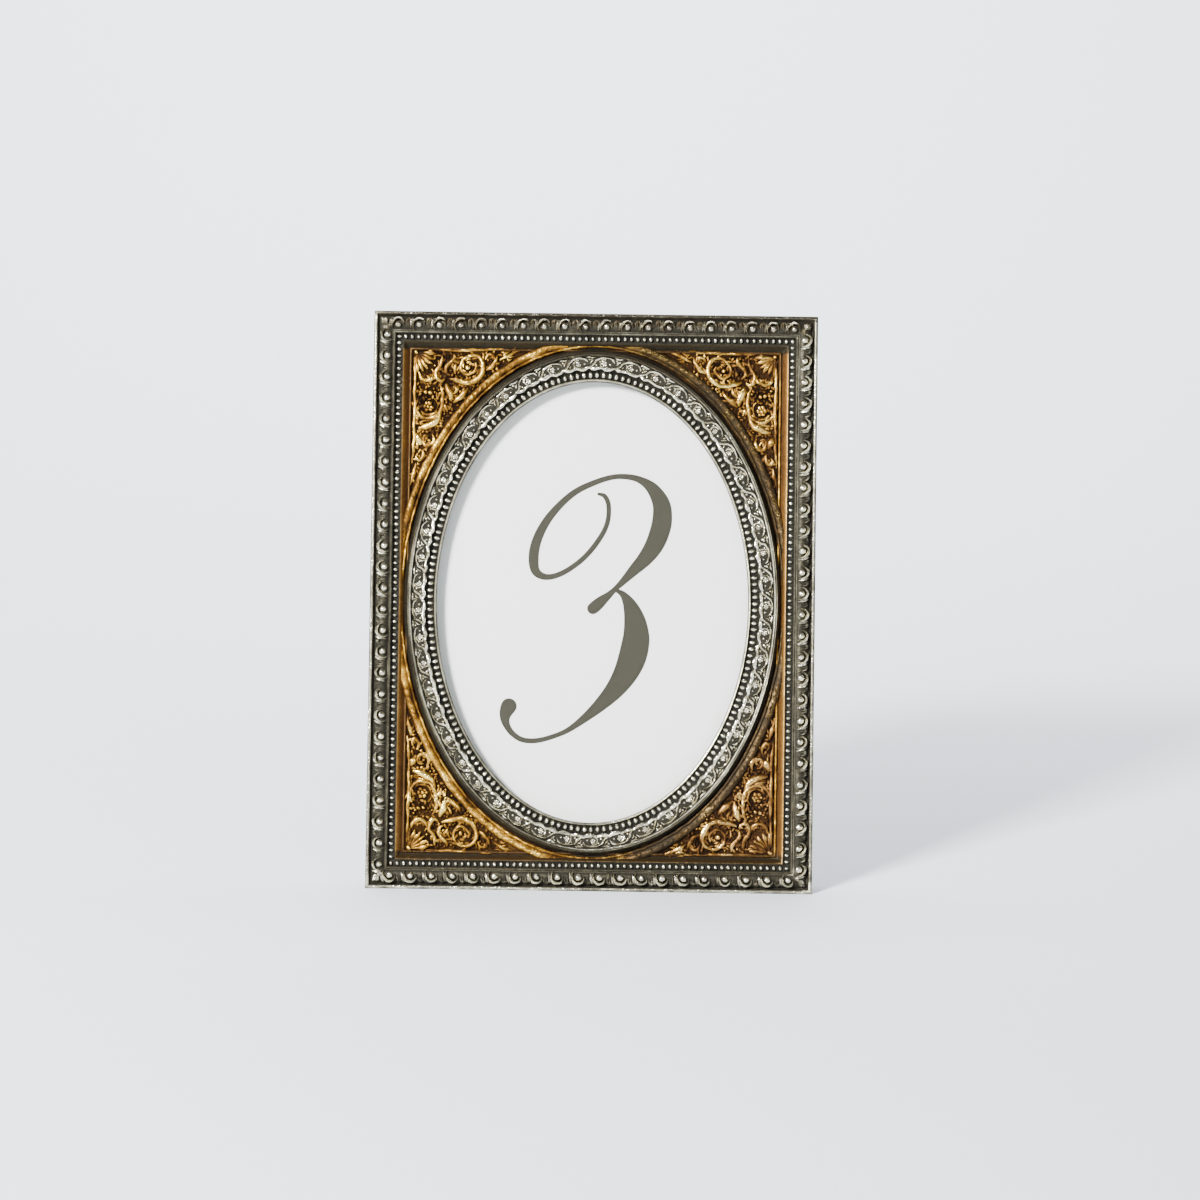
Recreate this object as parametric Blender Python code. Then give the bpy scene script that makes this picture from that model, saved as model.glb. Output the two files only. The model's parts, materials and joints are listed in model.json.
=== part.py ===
# Table number holder: an ornate easel-back frame for one 5 x 7 inch card behind an oval opening.
#
# World axes, metres: X to the right, the front looks along -Y, +Z up, table at z = 0.
# The frame is drawn upright in its own axes (y = 0 at the highest relief, growing to the back,
# z = 0 at its lower edge) and is then leaned back as one group on an empty.

import math

import bmesh
import bpy
from mathutils import Euler, Matrix, Vector

mm = 0.001

# Driving dimensions
frame_width = 171 * mm
frame_height = 222 * mm
opening_width = 120 * mm
opening_height = 170 * mm
card_width = 127 * mm
card_height = 178 * mm
lean_angle = math.radians(12)
strut_angle = math.radians(24)
gap = 0.3 * mm

# Casting: (inset from the outer edge, depth) over the moulding, then
# (offset outside the opening, depth) over the oval ring. The outer walls taper to the back by
# the lean angle, so that the lower one lies level on the table.
moulding_profile = [
    (0.0, 2.7), (0.5, 2.1), (1.7, 2.1), (2.3, 3.1), (2.8, 3.1), (3.4, 1.6), (5.1, 0.8),
    (6.9, 1.6), (7.6, 2.9), (8.1, 2.7), (8.5, 3.5), (10.7, 4.0), (11.4, 5.4), (12.6, 6.2),
]
ring_profile = [
    (12.4, 6.2), (12.0, 4.7), (11.4, 3.6), (10.6, 3.0), (9.9, 3.4), (9.5, 4.2), (7.0, 3.9),
    (4.4, 4.7), (3.9, 5.5), (2.6, 5.0), (1.3, 5.9), (1.0, 5.5), (0.3, 5.5), (0.0, 6.0),
]
oval_steps = 72
recess_clearance = 1.0 * mm
recess_depth = 8.4 * mm

# Layers behind the opening, front to back
glass_thickness = 2.0 * mm
card_thickness = 0.35 * mm
filler_thickness = 1.2 * mm
board_thickness = 2.5 * mm
velvet_thickness = 0.5 * mm
glass_front = recess_depth + gap
card_front = glass_front + glass_thickness + gap
filler_front = card_front + card_thickness + gap
board_front = filler_front + filler_thickness + gap
velvet_front = board_front + board_thickness + gap
velvet_back = velvet_front + velvet_thickness
casting_back = velvet_back + 0.35 * mm
wall_front = moulding_profile[0][1] * mm
wall_taper = (casting_back - wall_front) * math.tan(lean_angle)

# Turn buttons and their screws
button_thickness = 0.8 * mm
button_half_width = 4.0 * mm
button_reach = 16.0 * mm
button_inset = 14.0 * mm
button_heights = {"lower": 58 * mm, "upper": 166 * mm}
screw_radius = 1.2 * mm
screw_depth = 5.5 * mm
screw_head_radius = 2.9 * mm
screw_head_height = 1.5 * mm

# Strut hinge
sheet_thickness = 0.8 * mm
pin_radius = 0.8 * mm
pin_half_length = 15.0 * mm
curl_radius = pin_radius + gap + sheet_thickness / 2
curl_turn = math.radians(285)
curl_steps = 14
leaf_half_width = 14.0 * mm
knuckle_half_width = 5.0 * mm
knuckle_gap = 0.4 * mm
leaf_reach = 16.0 * mm
hinge_height = 152 * mm
hinge_depth = velvet_back + gap + sheet_thickness / 2 + curl_radius
rivet_radius = 1.0 * mm
rivet_head_radius = 2.2 * mm
rivet_head_height = 0.9 * mm
rivet_spread = 9.0 * mm
rivet_reach = 10.5 * mm

# Strut, drawn folded flat against the back with the hinge pin at y = 0, z = 0
strut_top = -2.8 * mm
strut_top_width = 36 * mm
strut_foot_width = 56 * mm
strut_board_thickness = 2.4 * mm
strut_inner = casting_back + 0.5 * mm - hinge_depth
strut_outer = strut_inner + strut_board_thickness
strut_velvet_inner = strut_outer + gap
strut_velvet_outer = strut_velvet_inner + velvet_thickness
strut_leaf_middle = strut_velvet_outer + gap + sheet_thickness / 2
strut_leaf_top = strut_top - 0.8 * mm
velvet_margin = 1.5 * mm

# Ribbon stay and its staples, as distances down from the hinge pin
ribbon_width = 10.0 * mm
ribbon_thickness = 0.5 * mm
ribbon_back_drop = 92 * mm
ribbon_strut_drop = 98 * mm
ribbon_tab = 9.0 * mm
staple_half_width = 6.6 * mm
staple_wire = 0.7 * mm
staple_height = ribbon_tab / 2
staple_leg = 1.8 * mm

round_steps = 16


def clear_scene():
    for thing in list(bpy.data.objects):
        bpy.data.objects.remove(thing, do_unlink=True)


def make_material(name, colour, roughness, metallic=0.0, alpha=1.0):
    material = bpy.data.materials.new(name)
    material.use_nodes = True
    shader = material.node_tree.nodes["Principled BSDF"]
    shader.inputs["Base Color"].default_value = (*colour, 1.0)
    shader.inputs["Roughness"].default_value = roughness
    shader.inputs["Metallic"].default_value = metallic
    shader.inputs["Alpha"].default_value = alpha
    return material


def make_empty(name, parent=None, location=(0, 0, 0), turn_x=0.0):
    empty = bpy.data.objects.new(name, None)
    empty.location = location
    empty.rotation_euler = Euler((turn_x, 0, 0))
    empty.parent = parent
    bpy.context.collection.objects.link(empty)
    return empty


def make_object(name, bm, material, parent, location=(0, 0, 0)):
    bmesh.ops.recalc_face_normals(bm, faces=bm.faces)
    mesh = bpy.data.meshes.new(name)
    bm.to_mesh(mesh)
    bm.free()
    mesh.materials.append(material)
    piece = bpy.data.objects.new(name, mesh)
    piece.location = location
    piece.parent = parent
    bpy.context.collection.objects.link(piece)
    return piece


def shade_round(piece):
    piece.data.shade_smooth()
    piece.data.set_sharp_from_angle(angle=math.radians(35))


def closed_edges(bm, verts):
    count = len(verts)
    return [bm.edges.new((verts[i], verts[(i + 1) % count])) for i in range(count)]


def rectangle(half_width, low, high):
    return [(-half_width, low), (half_width, low), (half_width, high), (-half_width, high)]


def circle(x, z, radius, steps=round_steps):
    angles = [math.tau * i / steps for i in range(steps)]
    return [(x + radius * math.cos(a), z + radius * math.sin(a)) for a in angles]


def make_plate(outline, holes, front, back):
    """A flat plate with an outline and holes in X and Z, from depth front to depth back."""
    bm = bmesh.new()
    edges = []
    for loop in [outline, *holes]:
        edges += closed_edges(bm, [bm.verts.new((x, front, z)) for x, z in loop])
    bmesh.ops.triangle_fill(bm, use_beauty=True, edges=edges)
    grown = bmesh.ops.extrude_face_region(bm, geom=list(bm.faces))
    moved = [g for g in grown["geom"] if isinstance(g, bmesh.types.BMVert)]
    bmesh.ops.translate(bm, verts=moved, vec=(0, back - front, 0))
    return bm


def make_turned(profile, steps=round_steps):
    """A round piece about the Y axis from (radius, depth) points."""
    bm = bmesh.new()
    verts = [bm.verts.new((radius, depth, 0)) for radius, depth in profile]
    edges = [bm.edges.new(pair) for pair in zip(verts, verts[1:])]
    bmesh.ops.spin(bm, geom=verts + edges, cent=(0, 0, 0), axis=(0, 1, 0),
                   angle=math.tau, steps=steps, use_merge=True)
    bmesh.ops.remove_doubles(bm, verts=bm.verts, dist=1e-6)
    return bm


def make_headed_pin(head_radius, head_height, shank_radius, head_base, tip):
    """A domed head standing behind depth head_base, with a shank that ends at depth tip."""
    dome_steps = 5
    dome = []
    for i in range(dome_steps + 1):
        angle = math.pi / 2 * (1 - i / dome_steps)
        dome.append((head_radius * math.cos(angle), head_base + head_height * math.sin(angle)))
    dome[0] = (0.0, head_base + head_height)
    return make_turned([*dome, (shank_radius, head_base), (shank_radius, tip), (0.0, tip)])


# Front casting

def casting_rectangle(bm, inset, depth):
    half = frame_width / 2 - inset
    corners = rectangle(half, inset, frame_height - inset)
    return [bm.verts.new((x, depth, z)) for x, z in corners]


def casting_oval(bm, offset, depth):
    half_x = opening_width / 2 + offset
    half_z = opening_height / 2 + offset
    verts = []
    for i in range(oval_steps):
        angle = math.tau * (i + 0.5) / oval_steps
        place = (half_x * math.cos(angle), depth, frame_height / 2 + half_z * math.sin(angle))
        verts.append(bm.verts.new(place))
    return verts


def skin_between(bm, loops):
    for first, second in zip(loops, loops[1:]):
        count = len(first)
        for i in range(count):
            j = (i + 1) % count
            bm.faces.new((first[i], first[j], second[j], second[i]))


def loop_edges(bm, verts):
    count = len(verts)
    pairs = [(verts[i], verts[(i + 1) % count]) for i in range(count)]
    return [bm.edges.get(pair) or bm.edges.new(pair) for pair in pairs]


def fill_between(bm, loops):
    edges = []
    for verts in loops:
        edges += loop_edges(bm, verts)
    bmesh.ops.triangle_fill(bm, use_beauty=True, edges=edges)


def make_screw_hole(bm, x, z):
    radius = screw_radius + gap
    mouth = [bm.verts.new((px, casting_back, pz)) for px, pz in circle(x, z, radius)]
    floor_depth = casting_back - screw_depth - gap
    floor = [bm.verts.new((px, floor_depth, pz)) for px, pz in circle(x, z, radius)]
    skin_between(bm, [mouth, floor])
    bm.faces.new(floor)
    return mouth


def make_casting(material, lean):
    bm = bmesh.new()
    outer = [casting_rectangle(bm, wall_taper, casting_back)]
    for inset, depth in moulding_profile:
        outer.append(casting_rectangle(bm, inset * mm, depth * mm))
    ring = [casting_oval(bm, offset * mm, depth * mm) for offset, depth in ring_profile]
    ring.append(casting_oval(bm, 0, recess_depth))
    recess_inset = (frame_width - card_width) / 2 - recess_clearance
    recess = [casting_rectangle(bm, recess_inset, depth) for depth in (recess_depth, casting_back)]
    skin_between(bm, outer)
    skin_between(bm, ring)
    skin_between(bm, recess)
    mouths = [make_screw_hole(bm, x, z) for _, x, z in button_places()]
    fill_between(bm, [outer[-1], ring[0]])
    fill_between(bm, [ring[-1], recess[0]])
    fill_between(bm, [recess[-1], outer[0], *mouths])
    casting = make_object("frame_casting", bm, material, lean)
    shade_round(casting)


# Glass, card and back

def centred_sheet(clearance=0.0):
    low = (frame_height - card_height) / 2 + clearance
    return rectangle(card_width / 2 - clearance, low, frame_height - low)


def back_rivet_places():
    return [(side * rivet_spread, hinge_height + rivet_reach) for side in (-1, 1)]


def staple_holes(middle):
    """The two square holes for a staple's legs, with the crown's middle at height middle."""
    holes = []
    for side in (-1, 1):
        x = side * (staple_half_width - staple_wire / 2)
        half = staple_wire / 2 + gap
        holes.append([(x - half, middle - half), (x + half, middle - half),
                      (x + half, middle + half), (x - half, middle + half)])
    return holes


def make_layers(materials, lean):
    rivet_holes = [circle(x, z, rivet_radius + gap) for x, z in back_rivet_places()]
    holes = rivet_holes + staple_holes(hinge_height - ribbon_back_drop + staple_height)
    layers = [
        ("glass_pane", "glass", 0.0, [], glass_front, glass_thickness),
        ("number_card", "card", 0.0, [], card_front, card_thickness),
        ("filler_card", "greyboard", 0.0, [], filler_front, filler_thickness),
        ("back_board", "fibreboard", 0.0, holes, board_front, board_thickness),
        ("back_velvet", "velvet", 0.5 * mm, holes, velvet_front, velvet_thickness),
    ]
    for name, material, clearance, cut, front, thickness in layers:
        bm = make_plate(centred_sheet(clearance), cut, front, front + thickness)
        make_object(name, bm, materials[material], lean)


# Turn buttons

def button_places():
    places = []
    for side_name, side in (("left", -1), ("right", 1)):
        for height_name, height in button_heights.items():
            x = side * (frame_width / 2 - button_inset)
            places.append((f"{side_name}_{height_name}", x, height))
    return places


def button_outline(direction):
    """A plate with a round eye and a rounded tongue that points along direction in X."""
    half_turn = 10
    eye = [math.pi / 2 + math.pi * i / half_turn for i in range(half_turn + 1)]
    tongue = [-math.pi / 2 + math.pi * i / half_turn for i in range(half_turn + 1)]
    tip = button_reach - button_half_width
    points = [(button_half_width * math.cos(a), button_half_width * math.sin(a)) for a in eye]
    points += [(tip + button_half_width * math.cos(a), button_half_width * math.sin(a))
               for a in tongue]
    return [(direction * x, z) for x, z in points]


def make_turn_buttons(material, lean):
    plate_front = casting_back + gap
    plate_back = plate_front + button_thickness
    for place, x, z in button_places():
        direction = -1 if x > 0 else 1
        hole = circle(0, 0, screw_radius + gap)
        bm = make_plate(button_outline(direction), [hole], 0, button_thickness)
        make_object(f"turn_button_{place}", bm, material, lean, (x, plate_front, z))
        bm = make_headed_pin(screw_head_radius, screw_head_height, screw_radius,
                             gap, casting_back - screw_depth - plate_back)
        shade_round(make_object(f"turn_screw_{place}", bm, material, lean, (x, plate_back, z)))


# Strut hinge

def curl_path(start, turn):
    """Points of a sheet's middle rolled about the pin, from angle start through turn, in Y and Z."""
    points = []
    for i in range(curl_steps + 1):
        angle = start + turn * i / curl_steps
        points.append((curl_radius * math.cos(angle), curl_radius * math.sin(angle)))
    return points


def make_leaf(name, flat, curl, knuckles, material, parent, location):
    """A stamped leaf: a flat plate with rivet holes, and curls on the knuckle columns.

    flat is (depth, plate start, plate end) in Y and Z, and curl lists the path's Y and Z points
    from the plate to the tip of the roll.
    """
    depth, near, far = flat
    inner = knuckle_half_width + knuckle_gap / 2
    lines = [-leaf_half_width, -inner - knuckle_gap / 2, -knuckle_half_width,
             knuckle_half_width, inner + knuckle_gap / 2, leaf_half_width]
    bm = bmesh.new()
    rivet_z = math.copysign(rivet_reach, far)
    holes = [circle(side * rivet_spread, rivet_z, rivet_radius + gap) for side in (-1, 1)]
    rim = [bm.verts.new((x, depth, near)) for x in lines]
    rim += [bm.verts.new((x, depth, far)) for x in reversed([lines[0], lines[-1]])]
    edges = closed_edges(bm, rim)
    for hole in holes:
        edges += closed_edges(bm, [bm.verts.new((x, depth, z)) for x, z in hole])
    bmesh.ops.triangle_fill(bm, use_beauty=True, edges=edges)
    for first in knuckles:
        strip = [rim[first], rim[first + 1]]
        for y, z in curl:
            new = [bm.verts.new((lines[first], y, z)), bm.verts.new((lines[first + 1], y, z))]
            bm.faces.new((strip[0], strip[1], new[1], new[0]))
            strip = new
    leaf = make_object(name, bm, material, parent, location)
    solid = leaf.modifiers.new("sheet", "SOLIDIFY")
    solid.thickness = sheet_thickness
    solid.offset = 0.0
    solid.use_even_offset = True
    shade_round(leaf)


def make_hinge(material, lean, hinge):
    at_pin = (0, hinge_depth, hinge_height)
    plate_near = curl_radius + sheet_thickness + 2 * gap
    make_leaf("hinge_leaf_fixed", (-curl_radius, plate_near, leaf_reach),
              curl_path(math.pi, curl_turn), (0, 4), material, lean, at_pin)
    make_leaf("hinge_leaf_moving", (strut_leaf_middle, strut_leaf_top, -leaf_reach),
              curl_path(0, curl_turn), (2,), material, hinge, (0, 0, 0))
    bm = bmesh.new()
    bmesh.ops.create_cone(bm, cap_ends=True, segments=round_steps, radius1=pin_radius,
                          radius2=pin_radius, depth=2 * pin_half_length,
                          matrix=Matrix.Rotation(math.pi / 2, 4, "Y"))
    shade_round(make_object("hinge_pin", bm, material, lean, at_pin))


def make_rivets(material, lean, hinge):
    leaf_back = hinge_depth - curl_radius + sheet_thickness / 2
    strut_leaf_back = strut_leaf_middle + sheet_thickness / 2
    groups = [
        ("back_rivet", lean, leaf_back, hinge_height + rivet_reach, board_front),
        ("strut_rivet", hinge, strut_leaf_back, -rivet_reach, strut_inner),
    ]
    for name, parent, seat, height, tip in groups:
        for side_name, side in (("left", -1), ("right", 1)):
            bm = make_headed_pin(rivet_head_radius, rivet_head_height, rivet_radius,
                                 gap, tip - seat)
            place = (side * rivet_spread, seat, height)
            shade_round(make_object(f"{name}_{side_name}", bm, material, parent, place))


# Strut

def foot_height(depth):
    """Z of the table under the open strut at a depth y, in the strut's own axes."""
    tilt = strut_angle - lean_angle
    pin_height = (hinge_height * math.cos(lean_angle) - hinge_depth * math.sin(lean_angle)
                  + stand_height())
    return (-pin_height - depth * math.sin(tilt)) / math.cos(tilt)


def stand_height():
    """How far the leaned frame is lifted, so that its lower wall lies on the table."""
    return wall_front * math.sin(lean_angle)


def strut_outline(top):
    foot = foot_height(0)
    top_half = strut_top_width / 2
    foot_half = strut_foot_width / 2
    return [(-foot_half, foot), (foot_half, foot), (top_half, top), (-top_half, top)]


def set_foot(bm, lift):
    """Slopes the lower end of a strut layer, so that it lies level when the strut is open."""
    lowest = min(v.co.z for v in bm.verts)
    for vert in bm.verts:
        if vert.co.z < lowest + mm:
            vert.co.z = foot_height(vert.co.y) + lift


def make_strut(materials, hinge):
    holes = [circle(side * rivet_spread, -rivet_reach, rivet_radius + gap) for side in (-1, 1)]
    holes += staple_holes(-ribbon_strut_drop + staple_height)
    bm = make_plate(strut_outline(strut_top), holes, strut_inner, strut_outer)
    set_foot(bm, 0.0)
    make_object("strut_board", bm, materials["fibreboard"], hinge)
    holes = holes[:2]
    top = strut_top - velvet_margin
    bm = make_plate(strut_outline(top), holes, strut_velvet_inner, strut_velvet_outer)
    set_foot(bm, velvet_margin)
    make_object("strut_velvet", bm, materials["velvet"], hinge)


# Ribbon stay

def ribbon_points():
    """The ribbon's middle line in the leaned frame's Y and Z, from the back to the open strut."""
    back_y = velvet_back + gap + ribbon_thickness / 2
    back_z = hinge_height - ribbon_back_drop
    strut_y = strut_inner - gap - ribbon_thickness / 2
    turn = Matrix.Rotation(strut_angle, 2)
    pin = Vector((hinge_depth, hinge_height))
    strut_low = pin + turn @ Vector((strut_y, -ribbon_strut_drop))
    strut_high = pin + turn @ Vector((strut_y, ribbon_tab - ribbon_strut_drop))
    return [Vector((back_y, back_z + ribbon_tab)), Vector((back_y, back_z)), strut_low, strut_high]


def make_ribbon(material, lean):
    bm = bmesh.new()
    half = ribbon_width / 2
    rows = []
    for y, z in ribbon_points():
        rows.append([bm.verts.new((-half, y, z)), bm.verts.new((half, y, z))])
    for first, second in zip(rows, rows[1:]):
        bm.faces.new((first[0], first[1], second[1], second[0]))
    ribbon = make_object("ribbon_stay", bm, material, lean)
    solid = ribbon.modifiers.new("cloth", "SOLIDIFY")
    solid.thickness = ribbon_thickness
    solid.offset = 0.0
    solid.use_even_offset = True


def make_staple(name, crown_front, crown_back, leg_end, middle, material, parent):
    """A flat wire staple: a crown along X between two depths, and two legs to depth leg_end."""
    half = staple_half_width
    inner = half - staple_wire
    outline = [(-half, leg_end), (-inner, leg_end), (-inner, crown_front), (inner, crown_front),
               (inner, leg_end), (half, leg_end), (half, crown_back), (-half, crown_back)]
    bm = bmesh.new()
    low = middle - staple_wire / 2
    face = bm.faces.new([bm.verts.new((x, y, low)) for x, y in outline])
    grown = bmesh.ops.extrude_face_region(bm, geom=[face])
    moved = [g for g in grown["geom"] if isinstance(g, bmesh.types.BMVert)]
    bmesh.ops.translate(bm, verts=moved, vec=(0, 0, staple_wire))
    make_object(name, bm, material, parent)


def make_staples(material, lean, hinge):
    over_ribbon = gap + ribbon_thickness + gap
    crown = velvet_back + over_ribbon
    make_staple("ribbon_staple_back", crown, crown + staple_wire, velvet_back - staple_leg,
                hinge_height - ribbon_back_drop + staple_height, material, lean)
    crown = strut_inner - over_ribbon
    make_staple("ribbon_staple_strut", crown, crown - staple_wire, strut_inner + staple_leg,
                -ribbon_strut_drop + staple_height, material, hinge)


def centre_over_origin(root):
    """Moves the whole holder so that its bounding box is centred on X = 0, Y = 0."""
    bpy.context.view_layer.update()
    graph = bpy.context.evaluated_depsgraph_get()
    depths = []
    for piece in bpy.data.objects:
        if piece.type == "MESH":
            world = piece.evaluated_get(graph)
            depths += [(world.matrix_world @ v.co).y for v in world.data.vertices]
    root.location.y -= (min(depths) + max(depths)) / 2
    bpy.context.view_layer.update()


def main():
    clear_scene()
    materials = {
        "casting": make_material("antique_silver_gold_resin", (0.20, 0.17, 0.12), 0.42, 0.6),
        "glass": make_material("clear_glass", (0.95, 0.97, 0.96), 0.03, 0.0, 0.3),
        "card": make_material("white_card", (0.80, 0.80, 0.78), 0.85),
        "greyboard": make_material("grey_board", (0.45, 0.43, 0.39), 0.9),
        "fibreboard": make_material("brown_fibreboard", (0.30, 0.20, 0.12), 0.8),
        "velvet": make_material("black_velvet", (0.015, 0.015, 0.017), 0.95),
        "steel": make_material("brassed_steel", (0.55, 0.42, 0.20), 0.32, 1.0),
        "ribbon": make_material("black_satin_ribbon", (0.02, 0.02, 0.022), 0.5),
    }
    root = make_empty("holder")
    lean = make_empty("lean", root, (0, 0, stand_height()), -lean_angle)
    hinge = make_empty("strut_hinge", lean, (0, hinge_depth, hinge_height), strut_angle)
    make_casting(materials["casting"], lean)
    make_layers(materials, lean)
    make_turn_buttons(materials["steel"], lean)
    make_hinge(materials["steel"], lean, hinge)
    make_rivets(materials["steel"], lean, hinge)
    make_strut(materials, hinge)
    make_ribbon(materials["ribbon"], lean)
    make_staples(materials["steel"], lean, hinge)
    centre_over_origin(root)


main()
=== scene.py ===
import json
import math
import random

import bmesh
import bpy
from mathutils import Matrix, Vector, noise


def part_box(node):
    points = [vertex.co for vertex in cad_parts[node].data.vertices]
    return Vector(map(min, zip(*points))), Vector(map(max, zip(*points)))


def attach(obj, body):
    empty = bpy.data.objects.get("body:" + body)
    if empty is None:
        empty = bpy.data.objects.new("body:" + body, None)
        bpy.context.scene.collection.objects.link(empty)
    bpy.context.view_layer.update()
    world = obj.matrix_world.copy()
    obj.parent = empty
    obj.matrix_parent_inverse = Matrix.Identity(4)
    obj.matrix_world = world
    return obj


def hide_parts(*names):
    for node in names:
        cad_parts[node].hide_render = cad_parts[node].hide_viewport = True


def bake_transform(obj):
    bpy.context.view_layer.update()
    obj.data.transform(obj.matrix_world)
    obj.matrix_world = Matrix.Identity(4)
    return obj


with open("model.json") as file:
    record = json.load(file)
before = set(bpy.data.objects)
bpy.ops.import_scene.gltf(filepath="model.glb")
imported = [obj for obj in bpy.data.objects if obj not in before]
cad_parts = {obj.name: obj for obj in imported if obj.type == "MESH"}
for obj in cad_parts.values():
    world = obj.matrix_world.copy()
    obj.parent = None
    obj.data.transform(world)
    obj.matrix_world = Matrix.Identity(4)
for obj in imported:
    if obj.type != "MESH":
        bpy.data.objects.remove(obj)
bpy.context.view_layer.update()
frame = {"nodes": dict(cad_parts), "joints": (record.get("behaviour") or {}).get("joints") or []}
mm = 0.001
random.seed(5)
noise.seed_set(5)  # without it the vector noise starts elsewhere each run

# where the leaned frame stands: x right, y depth from the highest relief, z up from its middle
crestDepth = 0.8 * mm  # the highest point of the plain casting lies this deep
turnAxis = next(j["axis"] for j in frame["joints"] if j.get("continuous"))
leanAngle = math.atan2(-turnAxis[2], turnAxis[1])
upright = Matrix.Rotation(leanAngle, 4, "X")
castPoints = [upright @ v.co for v in frame["nodes"]["frame_casting"].data.vertices]
castLow = Vector([min(p[i] for p in castPoints) for i in range(3)])
castHigh = Vector([max(p[i] for p in castPoints) for i in range(3)])
castSize = castHigh - castLow
castMiddle = (castLow.z + castHigh.z) / 2
frontPlace = upright.inverted() @ Matrix.Translation((0, castLow.y - crestDepth, castMiddle))
casting = {
    "halfWidth": castSize.x / 2,
    "halfHeight": castSize.z / 2,
    "back": castSize.y + crestDepth,
    "recess": 8.4 * mm,  # depth of the ledge that the glass rests on
    "recessRoom": 1.0 * mm,  # between the glass and the wall of its recess
    "opening": (60 * mm, 85 * mm),  # half sizes of the oval
    "ovalSteps": 192,
    "edgeCuts": 40,  # along each straight side
}

# (inset from the outer edge, depth), outside to inside, in mm
mouldingProfile = [
    (0.0, 2.7), (0.12, 2.35), (0.4, 2.1), (0.8, 2.0), (1.15, 2.1), (1.4, 2.45), (1.7, 3.1),
    (2.2, 3.35), (2.6, 3.1), (3.2, 2.6), (4.2, 2.2), (5.4, 2.05), (6.4, 2.3), (7.1, 2.9),
    (7.4, 3.1), (7.6, 2.8), (7.85, 2.6), (8.1, 2.8), (8.35, 3.4), (8.7, 4.1), (9.7, 4.4),
    (10.6, 4.45), (10.95, 4.2), (11.2, 4.15), (11.5, 4.3), (12.0, 4.75), (12.5, 5.25),
    (13.0, 5.75), (13.4, 6.1), (13.6, 6.2),
]
# insets where one strip of the moulding meets the next, in mm
lipEdge, crownEdge, filletEdge, slopeEdge = 1.9, 7.2, 8.5, 11.2

# (offset outside the opening, depth), outside to inside, in mm
ringProfile = [
    (12.5, 6.2), (12.4, 5.6), (12.1, 5.0), (11.8, 4.5), (11.55, 3.9), (11.35, 3.5), (11.1, 3.35),
    (10.9, 3.5), (10.75, 3.6), (10.55, 3.4), (10.3, 3.15), (10.05, 3.2), (9.85, 3.6),
    (9.65, 4.3), (9.3, 4.8), (8.6, 4.75), (7.0, 4.6), (5.4, 4.9), (4.5, 5.3), (4.15, 5.9),
    (3.5, 6.2), (2.4, 6.3), (1.35, 6.3), (1.15, 5.9), (0.9, 5.5), (0.6, 5.3), (0.3, 5.4),
    (0.05, 5.75), (0.0, 6.2),
]
ridgeEdges, sillEdge = (10.15, 11.15), 1.2  # offsets of the smooth ridge and the inner sill, in mm


def newMaterial(name):
    material = bpy.data.materials.new(name)
    material.use_nodes = True
    tree = material.node_tree
    tree.nodes.clear()
    shader = tree.nodes.new("ShaderNodeBsdfPrincipled")
    output = tree.nodes.new("ShaderNodeOutputMaterial")
    tree.links.new(shader.outputs["BSDF"], output.inputs["Surface"])
    return material, tree, shader


# links another node's output, or sets a plain value
def feed(tree, socket, value):
    if isinstance(value, bpy.types.NodeSocket):
        tree.links.new(value, socket)
    else:
        socket.default_value = value


def addNode(tree, kind, values=None, **settings):
    node = tree.nodes.new(kind)
    for key, value in settings.items():
        setattr(node, key, value)
    for key, value in (values or {}).items():
        feed(tree, node.inputs[key], value)
    return node


def setShader(tree, shader, **values):
    for key, value in values.items():
        feed(tree, shader.inputs[key.replace("_", " ")], value)


def mixColours(tree, factor, first, second, blend="MIX"):
    node = addNode(tree, "ShaderNodeMix", {0: factor, 6: first, 7: second}, data_type="RGBA",
                   blend_type=blend)
    return node.outputs[2]


def mathNode(tree, operation, first, second=0.0, clamp=False):
    node = addNode(tree, "ShaderNodeMath", {0: first, 1: second}, operation=operation,
                   use_clamp=clamp)
    return node.outputs[0]


def noiseNode(tree, coords, scale, detail, roughness=0.5, distortion=0.0):
    values = {"Vector": coords, "Scale": scale, "Detail": detail, "Roughness": roughness,
              "Distortion": distortion}
    return addNode(tree, "ShaderNodeTexNoise", values).outputs["Fac"]


def bumpNode(tree, height, distance, strength=1.0):
    values = {"Height": height, "Distance": distance, "Strength": strength}
    return addNode(tree, "ShaderNodeBump", values).outputs["Normal"]


# colours along a value, as (position, colour) from low to high
def rampNode(tree, factor, stops):
    node = addNode(tree, "ShaderNodeValToRGB", {"Fac": factor})
    elements = node.color_ramp.elements
    elements[0].position, elements[0].color = stops[0][0], (*stops[0][1], 1)
    elements[1].position, elements[1].color = stops[-1][0], (*stops[-1][1], 1)
    for position, colour in stops[1:-1]:
        elements.new(position).color = (*colour, 1)
    return node.outputs["Color"]


def rangeNode(tree, value, low, high, newLow=0.0, newHigh=1.0):
    values = {"Value": value, "From Min": low, "From Max": high, "To Min": newLow,
              "To Max": newHigh}
    return addNode(tree, "ShaderNodeMapRange", values).outputs["Result"]


# object coordinates laid upright: x right, y depth, z up from the middle of the frame
def frontCoords(tree):
    coords = addNode(tree, "ShaderNodeTexCoord").outputs["Object"]
    values = {"Vector": coords, "Rotation": (leanAngle, 0, 0),
              "Location": (0, crestDepth - castLow.y, -castMiddle)}
    return addNode(tree, "ShaderNodeMapping", values).outputs["Vector"]


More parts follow.
